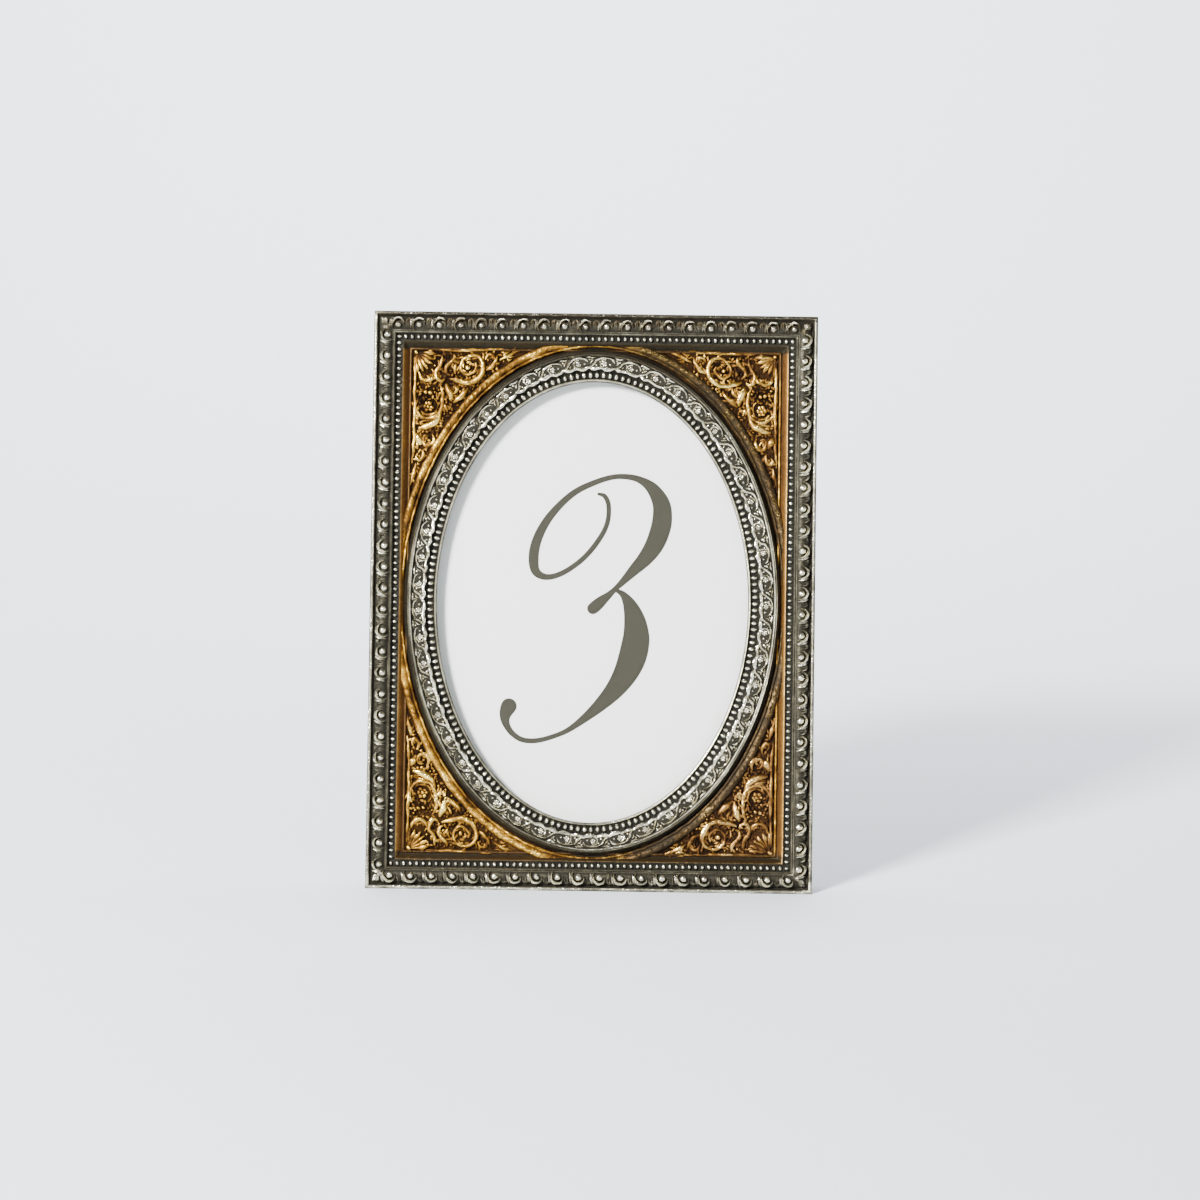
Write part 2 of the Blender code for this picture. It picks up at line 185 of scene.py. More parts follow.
# a shader node group with its inputs as (name, kind, value) and outputs as (name, kind)
def groupTree(name, inputs, outputs):
    tree = bpy.data.node_groups.new(name, "ShaderNodeTree")
    for label, kind, value in inputs:
        socket = tree.interface.new_socket(label, in_out="INPUT", socket_type=kind)
        if value is not None:
            socket.default_value = value
    for label, kind in outputs:
        tree.interface.new_socket(label, in_out="OUTPUT", socket_type=kind)
    return tree, tree.nodes.new("NodeGroupInput"), tree.nodes.new("NodeGroupOutput")


def useGroup(tree, group, values):
    node = tree.nodes.new("ShaderNodeGroup")
    node.node_tree = group
    for key, value in values.items():
        feed(tree, node.inputs[key], value)
    return node


# turns a bmesh into a finished piece that rides on its body
def finishPiece(name, bm, material, place=frontPlace, body="frame", sharp=40,
                recalc=True):
    if recalc:
        bmesh.ops.recalc_face_normals(bm, faces=bm.faces)
    mesh = bpy.data.meshes.new(name)
    bm.to_mesh(mesh)
    bm.free()
    mesh.transform(place)
    for m in (material if isinstance(material, list) else [material]):
        mesh.materials.append(m)
    mesh.shade_smooth()
    mesh.set_sharp_from_angle(angle=math.radians(sharp))
    piece = bpy.data.objects.new(name, mesh)
    bpy.context.scene.collection.objects.link(piece)
    if body:
        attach(piece, body)
    return piece


# a bare mesh to be copied into others
def meshOf(bm, name="shape"):
    mesh = bpy.data.meshes.new(name)
    bm.to_mesh(mesh)
    bm.free()
    return mesh


def addCopy(bm, shape, matrix):
    copy = shape.copy()
    copy.transform(matrix)
    bm.from_mesh(copy)
    bpy.data.meshes.remove(copy)


# extrudes an edge loop and moves the new loop
def growLoop(bm, edges, matrix):
    grown = bmesh.ops.extrude_edge_only(bm, edges=edges)["geom"]
    verts = [g for g in grown if isinstance(g, bmesh.types.BMVert)]
    bmesh.ops.transform(bm, matrix=matrix, verts=verts)
    return [g for g in grown if isinstance(g, bmesh.types.BMEdge)]


# a Catmull-Rom line through points of any number of values
def smoothLine(points, steps):
    points = [Vector(p) for p in points]
    points = [2 * points[0] - points[1], *points, 2 * points[-1] - points[-2]]
    line = []
    for a, b, c, d in zip(points, points[1:], points[2:], points[3:]):
        for i in range(steps):
            t = i / steps
            line.append(0.5 * (2 * b + (c - a) * t + (2 * a - 5 * b + 4 * c - d) * t * t
                               + (3 * b - a - 3 * c + d) * t ** 3))
    line.append(points[-2])
    return line


# matrices along a line of (x, z, half width): across, depth and along
def strokeFrames(line, height):
    frames = []
    for i, point in enumerate(line):
        along = (line[min(i + 1, len(line) - 1)] - line[max(i - 1, 0)])[:2]
        along = Vector((along[0], 0, along[1])).normalized()
        across = Vector((0, 1, 0)).cross(along)
        half = max(point[2], 0.02)
        rows = (across * half, Vector((0, 1, 0)) * half * height, along * half)
        turn = Matrix(rows).transposed()
        frames.append(Matrix.Translation((point[0], 0, point[1])) @ turn.to_4x4())
    return frames


# a tapered round stroke through points of (x, z, half width), in mm, closed at both ends
def strokeShape(points, height=0.8, steps=4, sides=6):
    frames = strokeFrames(smoothLine(points, steps), height)
    bm = bmesh.new()
    bmesh.ops.create_circle(bm, segments=sides, radius=1, matrix=frames[0])
    edges = list(bm.edges)
    bmesh.ops.contextual_create(bm, geom=edges)
    for first, second in zip(frames, frames[1:]):
        edges = growLoop(bm, edges, second @ first.inverted())
    bmesh.ops.contextual_create(bm, geom=edges)
    return meshOf(bm)


# pushes every vertex a little way by noise, as hand finishing leaves it
def roughen(bm, amount, size):
    for vert in bm.verts:
        vert.co += noise.noise_vector(vert.co / (size * mm)) * amount * mm


def ballShape(radius, depth, length, segments=8, rings=6):
    bm = bmesh.new()
    size = Matrix.Diagonal((radius, depth, length, 1))
    bmesh.ops.create_uvsphere(bm, u_segments=segments, v_segments=rings, radius=1,
                              matrix=size @ Matrix.Rotation(math.pi / 2, 4, "X"))
    return meshOf(bm)


# one mesh out of several
def joined(shapes):
    bm = bmesh.new()
    for shape in shapes:
        bm.from_mesh(shape)
        bpy.data.meshes.remove(shape)
    return meshOf(bm)


# places a shape drawn in mm on the front, turned in its plane by an angle
def spot(x, z, depth=0.0, turn=0.0, size=1.0, flip=1):
    return (Matrix.Translation((x * mm, depth * mm, z * mm)) @ Matrix.Rotation(-turn, 4, "Y")
            @ Matrix.Diagonal((size * flip * mm, size * mm, size * mm, 1)))


# how high a point stands in the relief, broken up by handling: 0 in the grime, 1 on a crest
def buildWearGroup():
    inputs = [("Coords", "NodeSocketVector", None), ("Low Depth", "NodeSocketFloat", 0.006),
              ("High Depth", "NodeSocketFloat", 0.001), ("Patch Size", "NodeSocketFloat", 160.0),
              ("Patchiness", "NodeSocketFloat", 0.5), ("Grain", "NodeSocketFloat", 0.25)]
    tree, start, end = groupTree("reliefWear", inputs, [("Wear", "NodeSocketFloat")])
    coords = start.outputs["Coords"]
    depth = addNode(tree, "ShaderNodeSeparateXYZ", {"Vector": coords}).outputs["Y"]
    height = rangeNode(tree, depth, start.outputs["Low Depth"], start.outputs["High Depth"])
    patches = noiseNode(tree, coords, start.outputs["Patch Size"], 3.0, 0.6)
    fine = noiseNode(tree, coords, 1500.0, 2.0)
    patch = mathNode(tree, "MULTIPLY", mathNode(tree, "SUBTRACT", patches, 0.5),
                     start.outputs["Patchiness"])
    grain = mathNode(tree, "MULTIPLY", mathNode(tree, "SUBTRACT", fine, 0.5),
                     start.outputs["Grain"])
    wear = mathNode(tree, "ADD", mathNode(tree, "ADD", height, patch), grain, clamp=True)
    tree.links.new(wear, end.inputs["Wear"])
    return tree


# fine lumps and pits of a hand-finished casting, as a height from 0 upwards
def buildCastBumpGroup():
    inputs = [("Coords", "NodeSocketVector", None), ("Lump Size", "NodeSocketFloat", 700.0),
              ("Lump", "NodeSocketFloat", 1.0), ("Pit", "NodeSocketFloat", 0.4)]
    tree, start, end = groupTree("castBump", inputs, [("Height", "NodeSocketFloat")])
    coords = start.outputs["Coords"]
    lumps = noiseNode(tree, coords, start.outputs["Lump Size"], 3.0, 0.55)
    pits = addNode(tree, "ShaderNodeTexVoronoi", {"Vector": coords, "Scale": 2600.0})
    dimple = rangeNode(tree, pits.outputs["Distance"], 0.0, 0.45)
    height = mathNode(tree, "ADD",
                      mathNode(tree, "MULTIPLY", lumps, start.outputs["Lump"]),
                      mathNode(tree, "MULTIPLY", dimple, start.outputs["Pit"]))
    tree.links.new(height, end.inputs["Height"])
    return tree


# where the gold wash runs over onto the silver: more at the upper left and the middle right,
# with ranges in metres from the middle of the front
def buildWashGroup():
    inputs = [("Coords", "NodeSocketVector", None), ("Amount", "NodeSocketFloat", 0.5)]
    tree, start, end = groupTree("goldWash", inputs, [("Mask", "NodeSocketFloat")])
    parts = addNode(tree, "ShaderNodeSeparateXYZ", {"Vector": start.outputs["Coords"]})
    right = rangeNode(tree, parts.outputs["X"], 0.02, 0.07)
    left = rangeNode(tree, parts.outputs["X"], -0.02, -0.08)
    up = rangeNode(tree, parts.outputs["Z"], -0.01, 0.09)
    upperLeft = mathNode(tree, "MULTIPLY", left, up)
    middle = rangeNode(tree, mathNode(tree, "ABSOLUTE", parts.outputs["Z"]), 0.075, 0.02)
    rightSide = mathNode(tree, "MULTIPLY", right, middle)
    drift = noiseNode(tree, start.outputs["Coords"], 38.0, 4.0)
    where = mathNode(tree, "MAXIMUM", upperLeft, rightSide)
    level = mathNode(tree, "ADD", mathNode(tree, "MULTIPLY", where, 0.3), drift)
    level = mathNode(tree, "ADD", level, start.outputs["Amount"])
    tree.links.new(rangeNode(tree, level, 0.98, 1.12), end.inputs["Mask"])
    return tree


# where the gold leaf has aged to a redder brown, mostly low on the right
def buildDriftGroup():
    inputs = [("Coords", "NodeSocketVector", None), ("Amount", "NodeSocketFloat", 0.0)]
    tree, start, end = groupTree("redDrift", inputs, [("Mask", "NodeSocketFloat")])
    parts = addNode(tree, "ShaderNodeSeparateXYZ", {"Vector": start.outputs["Coords"]})
    right = rangeNode(tree, parts.outputs["X"], -0.03, 0.06)
    down = rangeNode(tree, parts.outputs["Z"], 0.09, -0.09, 0.35, 1.0)
    drift = noiseNode(tree, start.outputs["Coords"], 55.0, 3.0)
    level = mathNode(tree, "ADD", mathNode(tree, "MULTIPLY", right, down), drift)
    level = mathNode(tree, "ADD", level, start.outputs["Amount"])
    tree.links.new(rangeNode(tree, level, 0.55, 1.35), end.inputs["Mask"])
    return tree


wearGroup = buildWearGroup()
bumpGroup = buildCastBumpGroup()
washGroup = buildWashGroup()
driftGroup = buildDriftGroup()

# tones from the grime of the recesses to the rubbed crests
silverTones = [(0.0, (0.006, 0.0055, 0.0035)), (0.3, (0.028, 0.025, 0.017)),
               (0.55, (0.115, 0.104, 0.073)), (0.78, (0.42, 0.395, 0.29)),
               (1.0, (0.84, 0.79, 0.61))]
pewterTones = [(0.0, (0.006, 0.0055, 0.0035)), (0.4, (0.022, 0.020, 0.014)),
               (0.7, (0.062, 0.056, 0.038)), (0.9, (0.19, 0.17, 0.115)),
               (1.0, (0.42, 0.38, 0.27))]
goldTones = [(0.0, (0.008, 0.0035, 0.0012)), (0.25, (0.040, 0.0175, 0.004)),
             (0.5, (0.19, 0.090, 0.013)), (0.75, (0.55, 0.32, 0.048)),
             (1.0, (1.0, 0.74, 0.19))]
redGoldTones = [(0.0, (0.008, 0.0035, 0.0016)), (0.25, (0.035, 0.0155, 0.005)),
                (0.5, (0.125, 0.058, 0.015)), (0.75, (0.30, 0.16, 0.040)),
                (1.0, (0.68, 0.44, 0.14))]


# painted-on metal leaf, dark in the recesses and rubbed bright on the crests: low and high are the
# depths in mm where the grime ends and the crest begins, and bump is lump size, lump and pit
def leafedMetal(name, tones, low, high, patchSize=170.0, patchiness=0.5, wash=None, drift=None,
                rough=(0.7, 0.24), metal=(0.35, 1.0), bump=(700.0, 0.9, 0.35), bumpDepth=0.00015,
                grain=0.35, paintedShadeAndTintBands=(), paintedShadeAndTintTone=(0.030, 0.022, 0.013, 1)):
    material, tree, shader = newMaterial(name)
    coords = frontCoords(tree)
    wear = useGroup(tree, wearGroup, {"Coords": coords, "Low Depth": low * mm,
                                      "High Depth": high * mm, "Patch Size": patchSize,
                                      "Patchiness": patchiness, "Grain": grain})
    colour = rampNode(tree, wear.outputs["Wear"], tones)
    if wash is not None:
        mask = useGroup(tree, washGroup, {"Coords": coords, "Amount": wash})
        gilt = rampNode(tree, wear.outputs["Wear"], goldTones)
        colour = mixColours(tree, mask.outputs["Mask"], colour, gilt)
    if drift is not None:
        mask = useGroup(tree, driftGroup, {"Coords": coords, "Amount": drift})
        rusty = rampNode(tree, wear.outputs["Wear"], redGoldTones)
        colour = mixColours(tree, mask.outputs["Mask"], colour, rusty)
    # bands darkened by position: painted shade on the lip, a darker tint or gold-wash brown on the
    # other strips
    for axis, start, end, amount in paintedShadeAndTintBands:
        along = addNode(tree, "ShaderNodeSeparateXYZ", {"Vector": coords}).outputs[axis]
        shade = rangeNode(tree, along, start * mm, end * mm, 0.0, amount)
        colour = mixColours(tree, shade, colour, paintedShadeAndTintTone)
    lumps = useGroup(tree, bumpGroup, {"Coords": coords, "Lump Size": bump[0], "Lump": bump[1],
                                       "Pit": bump[2]})
    setShader(tree, shader, Base_Color=colour,
              Normal=bumpNode(tree, lumps.outputs["Height"], bumpDepth),
              Roughness=rangeNode(tree, wear.outputs["Wear"], 0.1, 0.9, rough[0], rough[1]),
              Metallic=rangeNode(tree, wear.outputs["Wear"], 0.1, 0.6, metal[0], metal[1]),
              Specular_IOR_Level=0.15)
    return material


# where a strip is darkened by position: axis, from, to (in mm from the middle) and how much
upperEdge = casting["halfHeight"] / mm
# painted shade on the lip: much darker along the top and a little darker up the sides than at the
# bottom, as the light falls
lipPaintedShade = [("Z", 3 - upperEdge, 6 - upperEdge, 0.35), ("Z", upperEdge - 3, upperEdge - 1, 0.8)]
# the ring's smooth ridge is darker towards the top and bottom of the oval
ridgeDarkerTopBottom = [("Z", 45, 90, 0.85), ("Z", -60, -85, 0.55)]
fadedRim = [("X", -5, 20, 0.88)]
# the gold slope is darker along its top and bottom strips than up the sides
slopeDarkerTopBottom = [("Z", upperEdge - 15, upperEdge - 13.8, 0.95),
              ("Z", 15 - upperEdge, 13.8 - upperEdge, 0.8)]
fadedEggs = [("Z", upperEdge - 9, upperEdge - 7.5, 0.5)]
rightOnly = [("X", 66, 40, 0.9), ("Z", -upperEdge + 17, -upperEdge + 14.5, 0.9),
             ("Z", upperEdge - 50, upperEdge - 20, 0.9)]
pewterCrown = leafedMetal("pewterCrown", pewterTones, 5.0, -1.2, patchSize=190, patchiness=1.0,
                          wash=-0.27)
# the lip's rubbed silver, with painted shade over its top and sides
lipSilver = leafedMetal("rubbedSilverLipPaintedShade", silverTones, 3.1, 1.75, patchSize=150, patchiness=1.3,
                        wash=-0.24, paintedShadeAndTintBands=lipPaintedShade, rough=(0.7, 0.2))
filletSilver = leafedMetal("dullSilverFillet", silverTones, 4.4, 1.4, patchSize=120,
                           patchiness=0.8, wash=-0.27)
slopeGold = leafedMetal("smoothGoldSlope", redGoldTones, 7.6, 2.6, patchSize=45, patchiness=0.6,
                        metal=(0.5, 0.9), rough=(0.5, 0.35), paintedShadeAndTintBands=slopeDarkerTopBottom,
                        paintedShadeAndTintTone=(0.022, 0.020, 0.013, 1))
eggSilver = leafedMetal("antiqueSilverEggs", silverTones, 2.5, 0.9, patchSize=200,
                        patchiness=1.3, wash=-0.11, rough=(0.7, 0.18), paintedShadeAndTintBands=fadedEggs,
                        paintedShadeAndTintTone=(0.085, 0.058, 0.026, 1))
beadSilver = leafedMetal("antiqueSilverBeads", silverTones, 4.6, 3.1, patchSize=130,
                         patchiness=0.9, wash=-0.28, rough=(0.7, 0.2))
ringPewter = leafedMetal("pewterRing", pewterTones, 6.4, 1.0, patchSize=140, patchiness=0.9,
                         wash=-0.16)
ridgeSilver = leafedMetal("rubbedRidge", silverTones, 4.2, 2.9, patchSize=55, patchiness=1.3,
                          wash=0.05, paintedShadeAndTintBands=ridgeDarkerTopBottom)
sillSilver = leafedMetal("rubbedSill", silverTones, 6.2, 5.1, patchSize=80, patchiness=0.9,
                         wash=-0.15)
vineSilver = leafedMetal("antiqueSilverVine", silverTones, 5.3, 4.6, patchSize=190,
                         patchiness=1.3, wash=-0.08, rough=(0.7, 0.18))
pearlSilver = leafedMetal("antiqueSilverPearls", silverTones, 6.6, 5.45, patchSize=110,
                          patchiness=1.1, wash=-0.14, rough=(0.7, 0.18))
fieldGold = leafedMetal("antiqueGoldField", goldTones, 6.4, 4.0, patchSize=110, patchiness=0.9,
                        drift=0.0, bump=(520.0, 1.2, 0.6), bumpDepth=0.0003, metal=(0.8, 1.0))
filletGold = leafedMetal("wornGoldFillet", goldTones, 6.2, 4.6, patchSize=170, patchiness=1.3,
                         metal=(0.7, 1.0), paintedShadeAndTintBands=rightOnly, paintedShadeAndTintTone=(0.055, 0.030, 0.012, 1))
scrollGold = leafedMetal("antiqueGoldScroll", goldTones, 6.27, 4.67, patchSize=150,
                         patchiness=1.7, drift=0.05, metal=(0.7, 1.0), rough=(0.7, 0.2))
rimGold = leafedMetal("antiqueGoldRim", goldTones, 6.5, 3.7, patchSize=120, patchiness=1.8,
                      drift=-0.02, bump=(520.0, 1.5, 0.5), bumpDepth=0.0003, metal=(0.7, 1.0),
                      paintedShadeAndTintBands=fadedRim, paintedShadeAndTintTone=(0.034, 0.026, 0.015, 1))


def darkResin():
    material, tree, shader = newMaterial("darkResinBack")
    coords = frontCoords(tree)
    cloud = noiseNode(tree, coords, 60.0, 5.0)
    lumps = useGroup(tree, bumpGroup, {"Coords": coords, "Lump Size": 260.0, "Lump": 1.0,
                                       "Pit": 0.5})
    colour = rampNode(tree, cloud, [(0.3, (0.022, 0.020, 0.018)), (0.7, (0.050, 0.045, 0.038))])
    setShader(tree, shader, Base_Color=colour,
              Normal=bumpNode(tree, lumps.outputs["Height"], 0.0003),
              Roughness=rangeNode(tree, cloud, 0.3, 0.7, 0.5, 0.7),
              Specular_IOR_Level=0.3)
    return material


resinBack = darkResin()


# moves a rectangular loop from one inset and depth to the next
def rectangleStep(oldInset, newInset, oldDepth, newDepth):
    across = (casting["halfWidth"] - newInset) / (casting["halfWidth"] - oldInset)
    up = (casting["halfHeight"] - newInset) / (casting["halfHeight"] - oldInset)
    return (Matrix.Translation((0, newDepth, 0)) @ Matrix.Diagonal((across, 1, up, 1))
            @ Matrix.Translation((0, -oldDepth, 0)))


def ovalStep(oldOffset, newOffset, oldDepth, newDepth):
    across = (casting["opening"][0] + newOffset) / (casting["opening"][0] + oldOffset)
    up = (casting["opening"][1] + newOffset) / (casting["opening"][1] + oldOffset)
    return (Matrix.Translation((0, newDepth, 0)) @ Matrix.Diagonal((across, 1, up, 1))
            @ Matrix.Translation((0, -oldDepth, 0)))


def rectangleLoop(bm, inset, depth, cuts):
    half = (casting["halfWidth"] - inset, casting["halfHeight"] - inset)
    corners = [bm.verts.new((sx * half[0], depth, sz * half[1]))
               for sx, sz in ((-1, -1), (1, -1), (1, 1), (-1, 1))]
    edges = [bm.edges.new((corners[i], corners[(i + 1) % 4])) for i in range(4)]
    if cuts:
        split = bmesh.ops.subdivide_edges(bm, edges=edges, cuts=cuts)["geom_split"]
        edges = [g for g in split if isinstance(g, bmesh.types.BMEdge)]
    return edges


def ovalLoop(bm, offset, depth, steps=casting["ovalSteps"]):
    size = Matrix.Diagonal((casting["opening"][0] + offset, 1, casting["opening"][1] + offset, 1))
    turn = Matrix.Translation((0, depth, 0)) @ size @ Matrix.Rotation(math.pi / 2, 4, "X")
    made = bmesh.ops.create_circle(bm, segments=steps, radius=1, matrix=turn)
    return list(dict.fromkeys(e for v in made["verts"] for e in v.link_edges))


# distance inside the outer edge, in mm
def insetOf(point):
    return min(casting["halfWidth"] - abs(point.x), casting["halfHeight"] - abs(point.z)) / mm


def insideOval(point, offset):
    return ((point.x / (casting["opening"][0] + offset * mm)) ** 2
            + (point.z / (casting["opening"][1] + offset * mm)) ** 2) < 1


# which material of the casting a point of its front skin takes
def stripOf(point):
    if insideOval(point, ringProfile[0][0]) and point.y < casting["recess"]:
        if insideOval(point, sillEdge):
            return sillSilver
        onRidge = insideOval(point, ridgeEdges[1]) and not insideOval(point, ridgeEdges[0])
        return ridgeSilver if onRidge else ringPewter
    inset = insetOf(point)
    if inset < lipEdge:
        return lipSilver
    if inset > slopeEdge:
        return slopeGold
    return filletSilver if crownEdge < inset < filletEdge else pewterCrown


def buildCasting():
    bm = bmesh.new()
    back, recess = casting["back"], casting["recess"]
    skins = [pewterCrown, lipSilver, filletSilver, slopeGold, ringPewter, ridgeSilver, sillSilver,
             fieldGold, resinBack]
    wallFront = mouldingProfile[0][1] * mm
    taper = (back - wallFront) * math.tan(leanAngle)  # the lower wall lies level on the table
    wall = rectangleLoop(bm, 0, wallFront, casting["edgeCuts"])
    edges = wall
    for (a, b), (c, d) in zip(mouldingProfile, mouldingProfile[1:]):
        edges = growLoop(bm, edges, rectangleStep(a * mm, c * mm, b * mm, d * mm))
    panelRim = edges
    edges = ovalLoop(bm, ringProfile[0][0] * mm, ringProfile[0][1] * mm)
    ringRim = edges
    for (a, b), (c, d) in zip(ringProfile, ringProfile[1:]):
        edges = growLoop(bm, edges, ovalStep(a * mm, c * mm, b * mm, d * mm))
    for face in bm.faces:
        face.material_index = skins.index(stripOf(face.calc_center_median()))
    front = set(bm.faces)
    outer = growLoop(bm, wall, rectangleStep(0, taper, wallFront, back))
    ledge = growLoop(bm, edges, ovalStep(0, 0, ringProfile[-1][1] * mm, recess))
    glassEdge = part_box("glass_pane")[1].x
    recessInset = casting["halfWidth"] - glassEdge - casting["recessRoom"]
    floorRim = rectangleLoop(bm, recessInset, recess, 0)
    mouth = growLoop(bm, floorRim, rectangleStep(recessInset, recessInset, recess, back))
    for face in bm.faces:
        if face not in front:
            face.material_index = skins.index(resinBack)
    for rims, skin in (((panelRim, ringRim), fieldGold), ((ledge, floorRim), resinBack),
                       ((mouth, outer), resinBack)):
        made = bmesh.ops.triangle_fill(bm, use_beauty=True, edges=rims[0] + rims[1])
        for face in (g for g in made["geom"] if isinstance(g, bmesh.types.BMFace)):
            face.material_index = skins.index(skin)
    piece = finishPiece("castingBody", bm, skins, sharp=50)
    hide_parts("frame_casting")


eggRow = {
    "inset": 5.2,  # of the eggs' middles from the outer edge
    "pitch": 8.1,
    "depth": 1.9,
    "egg": (1.25, 1.2, 1.35),  # across, deep, along
    "leaf": [(-1.85, -1.85, 0.15), (-2.3, -1.0, 0.4), (-2.4, 0.1, 0.6), (-1.9, 1.4, 0.7),
             (-0.7, 2.2, 0.68), (0.75, 2.25, 0.58), (1.8, 1.5, 0.45), (2.2, 0.4, 0.3),
             (2.1, -0.5, 0.12)],
    "spur": [(-3.3, -1.4, 0.1), (-3.1, -0.2, 0.42), (-2.9, 1.2, 0.5), (-2.3, 2.5, 0.15)],
    "dart": [(0, 2.7, 0.3), (0, 2.2, 0.52), (0.05, 1.3, 0.4), (0.05, 0.1, 0.22), (0, -1.4, 0.08)],
    "dartLobe": [(0.2, 2.6, 0.3), (0.75, 1.9, 0.36), (1.1, 1.0, 0.26), (1.2, 0.2, 0.08)],
    "lumps": (0.26, 1.7),  # how far and how wide the hand finishing moves the surface
}


# the four sides: middle point, turn from the bottom side, and length, in mm
def fourSides(inset):
    halfX, halfZ = casting["halfWidth"] / mm - inset, casting["halfHeight"] / mm - inset
    return [
        (Vector((0, -halfZ)), 0.0, 2 * halfX),
        (Vector((halfX, 0)), math.pi / 2, 2 * halfZ),
        (Vector((0, halfZ)), math.pi, 2 * halfX),
        (Vector((-halfX, 0)), -math.pi / 2, 2 * halfZ),
    ]


def buildEggRow():
    egg = ballShape(*eggRow["egg"], segments=10, rings=8)
    leaf = strokeShape([(x, -z, w) for x, z, w in eggRow["leaf"]], height=1.7, steps=2)
    spur = strokeShape([(x, -z, w) for x, z, w in eggRow["spur"]], height=1.5, steps=2, sides=5)
    dart = joined([
        strokeShape([(x, -z, w) for x, z, w in eggRow["dart"]], height=1.4, steps=2, sides=6),
        strokeShape([(x, -z, w) for x, z, w in eggRow["dartLobe"]], height=1.3, steps=2, sides=5),
        strokeShape([(-x, -z, w) for x, z, w in eggRow["dartLobe"]], height=1.3, steps=2, sides=5),
    ])
    bm = bmesh.new()
    for middle, turn, length in fourSides(eggRow["inset"]):
        count = round(length / eggRow["pitch"])
        along = Vector((math.cos(turn), math.sin(turn)))
        for i in range(count):
            place = middle + along * ((i + 0.5) / count - 0.5) * length
            flip = -1 if turn in (math.pi, -math.pi / 2) else 1
            size = random.uniform(0.96, 1.04)
            depth = eggRow["depth"] + random.uniform(-0.06, 0.06)
            addCopy(bm, egg, spot(*place, depth - 0.1, turn, size))
            leafTurn = turn + random.uniform(-0.09, 0.09)
            for shape in (leaf, spur):
                addCopy(bm, shape, spot(*place, depth, leafTurn, size, flip))
            if i:
                place = middle + along * (i / count - 0.5) * length
                addCopy(bm, dart, spot(*place, depth + 0.35, turn, size * 0.95))
        corner = middle - along * length / 2
        addCornerLeaf(bm, corner, turn)
    roughen(bm, *eggRow["lumps"])
    finishPiece("eggAndLeafRow", bm, eggSilver, sharp=60)


# a five-lobed leaf across the mitre at the start of a side
def addCornerLeaf(bm, corner, turn):
    for angle in (-70, -35, 0, 35, 70):
        reach = 4.4 - abs(angle) / 50
        lobe = strokeShape([(0, -1.6, 0.12), (0.15 * angle / 70, 0.4, 0.42),
                            (0.3 * angle / 70, reach * 0.6, 0.52), (0, reach - 0.9, 0.12)],
                           height=0.9, steps=3)
        addCopy(bm, lobe, spot(*corner, 1.95, turn + math.radians(135 + angle * 0.62)))
        bpy.data.meshes.remove(lobe)


# beads in mm as (across, deep, along)
beadRow = {"inset": 9.65, "pitch": 2.49, "depth": 4.0, "bead": (0.70, 0.8, 0.98),
           "lumps": (0.07, 1.6)}
pearlRow = {"offset": 2.6, "pitch": 2.52, "depth": 6.0, "bead": (0.78, 0.95, 1.32),
            "lumps": (0.12, 1.8)}


def buildBeadRow():
    bead = ballShape(*beadRow["bead"])
    bm = bmesh.new()
    for middle, turn, length in fourSides(beadRow["inset"]):
        count = round(length / beadRow["pitch"])
        along = Vector((math.cos(turn), math.sin(turn)))
        for i in range(count):
            place = middle + along * (i / count - 0.5) * length
            addCopy(bm, bead, spot(*place, beadRow["depth"], turn, random.uniform(0.93, 1.05)))
    roughen(bm, *beadRow["lumps"])
    finishPiece("fineBeadRow", bm, beadSilver, sharp=80)


# evenly spaced points on the oval at an offset: (x, z, direction of the tangent), in mm
def ovalPlaces(offset, pitch):
    halfX = casting["opening"][0] / mm + offset
    halfZ = casting["opening"][1] / mm + offset
    fine = 3600  # short steps to measure the way round with
    turns = [math.tau * i / fine for i in range(fine + 1)]
    points = [Vector((halfX * math.cos(turn), halfZ * math.sin(turn))) for turn in turns]
    lengths = [0.0]
    for a, b in zip(points, points[1:]):
        lengths.append(lengths[-1] + (b - a).length)
    count = round(lengths[-1] / pitch)
    places, k = [], 0
    for i in range(count):
        while lengths[k] < lengths[-1] * i / count:
            k += 1
        angle = math.tau * k / fine
        tangent = math.atan2(halfZ * math.cos(angle), -halfX * math.sin(angle))
        places.append((points[k].x, points[k].y, tangent))
    return places


def buildPearlRow():
    pearl = ballShape(*pearlRow["bead"])
    bm = bmesh.new()
    for x, z, tangent in ovalPlaces(pearlRow["offset"], pearlRow["pitch"]):
        addCopy(bm, pearl, spot(x, z, pearlRow["depth"], tangent, random.uniform(0.95, 1.04)))
    roughen(bm, *pearlRow["lumps"])
    finishPiece("ringPearlRow", bm, pearlSilver, sharp=80)


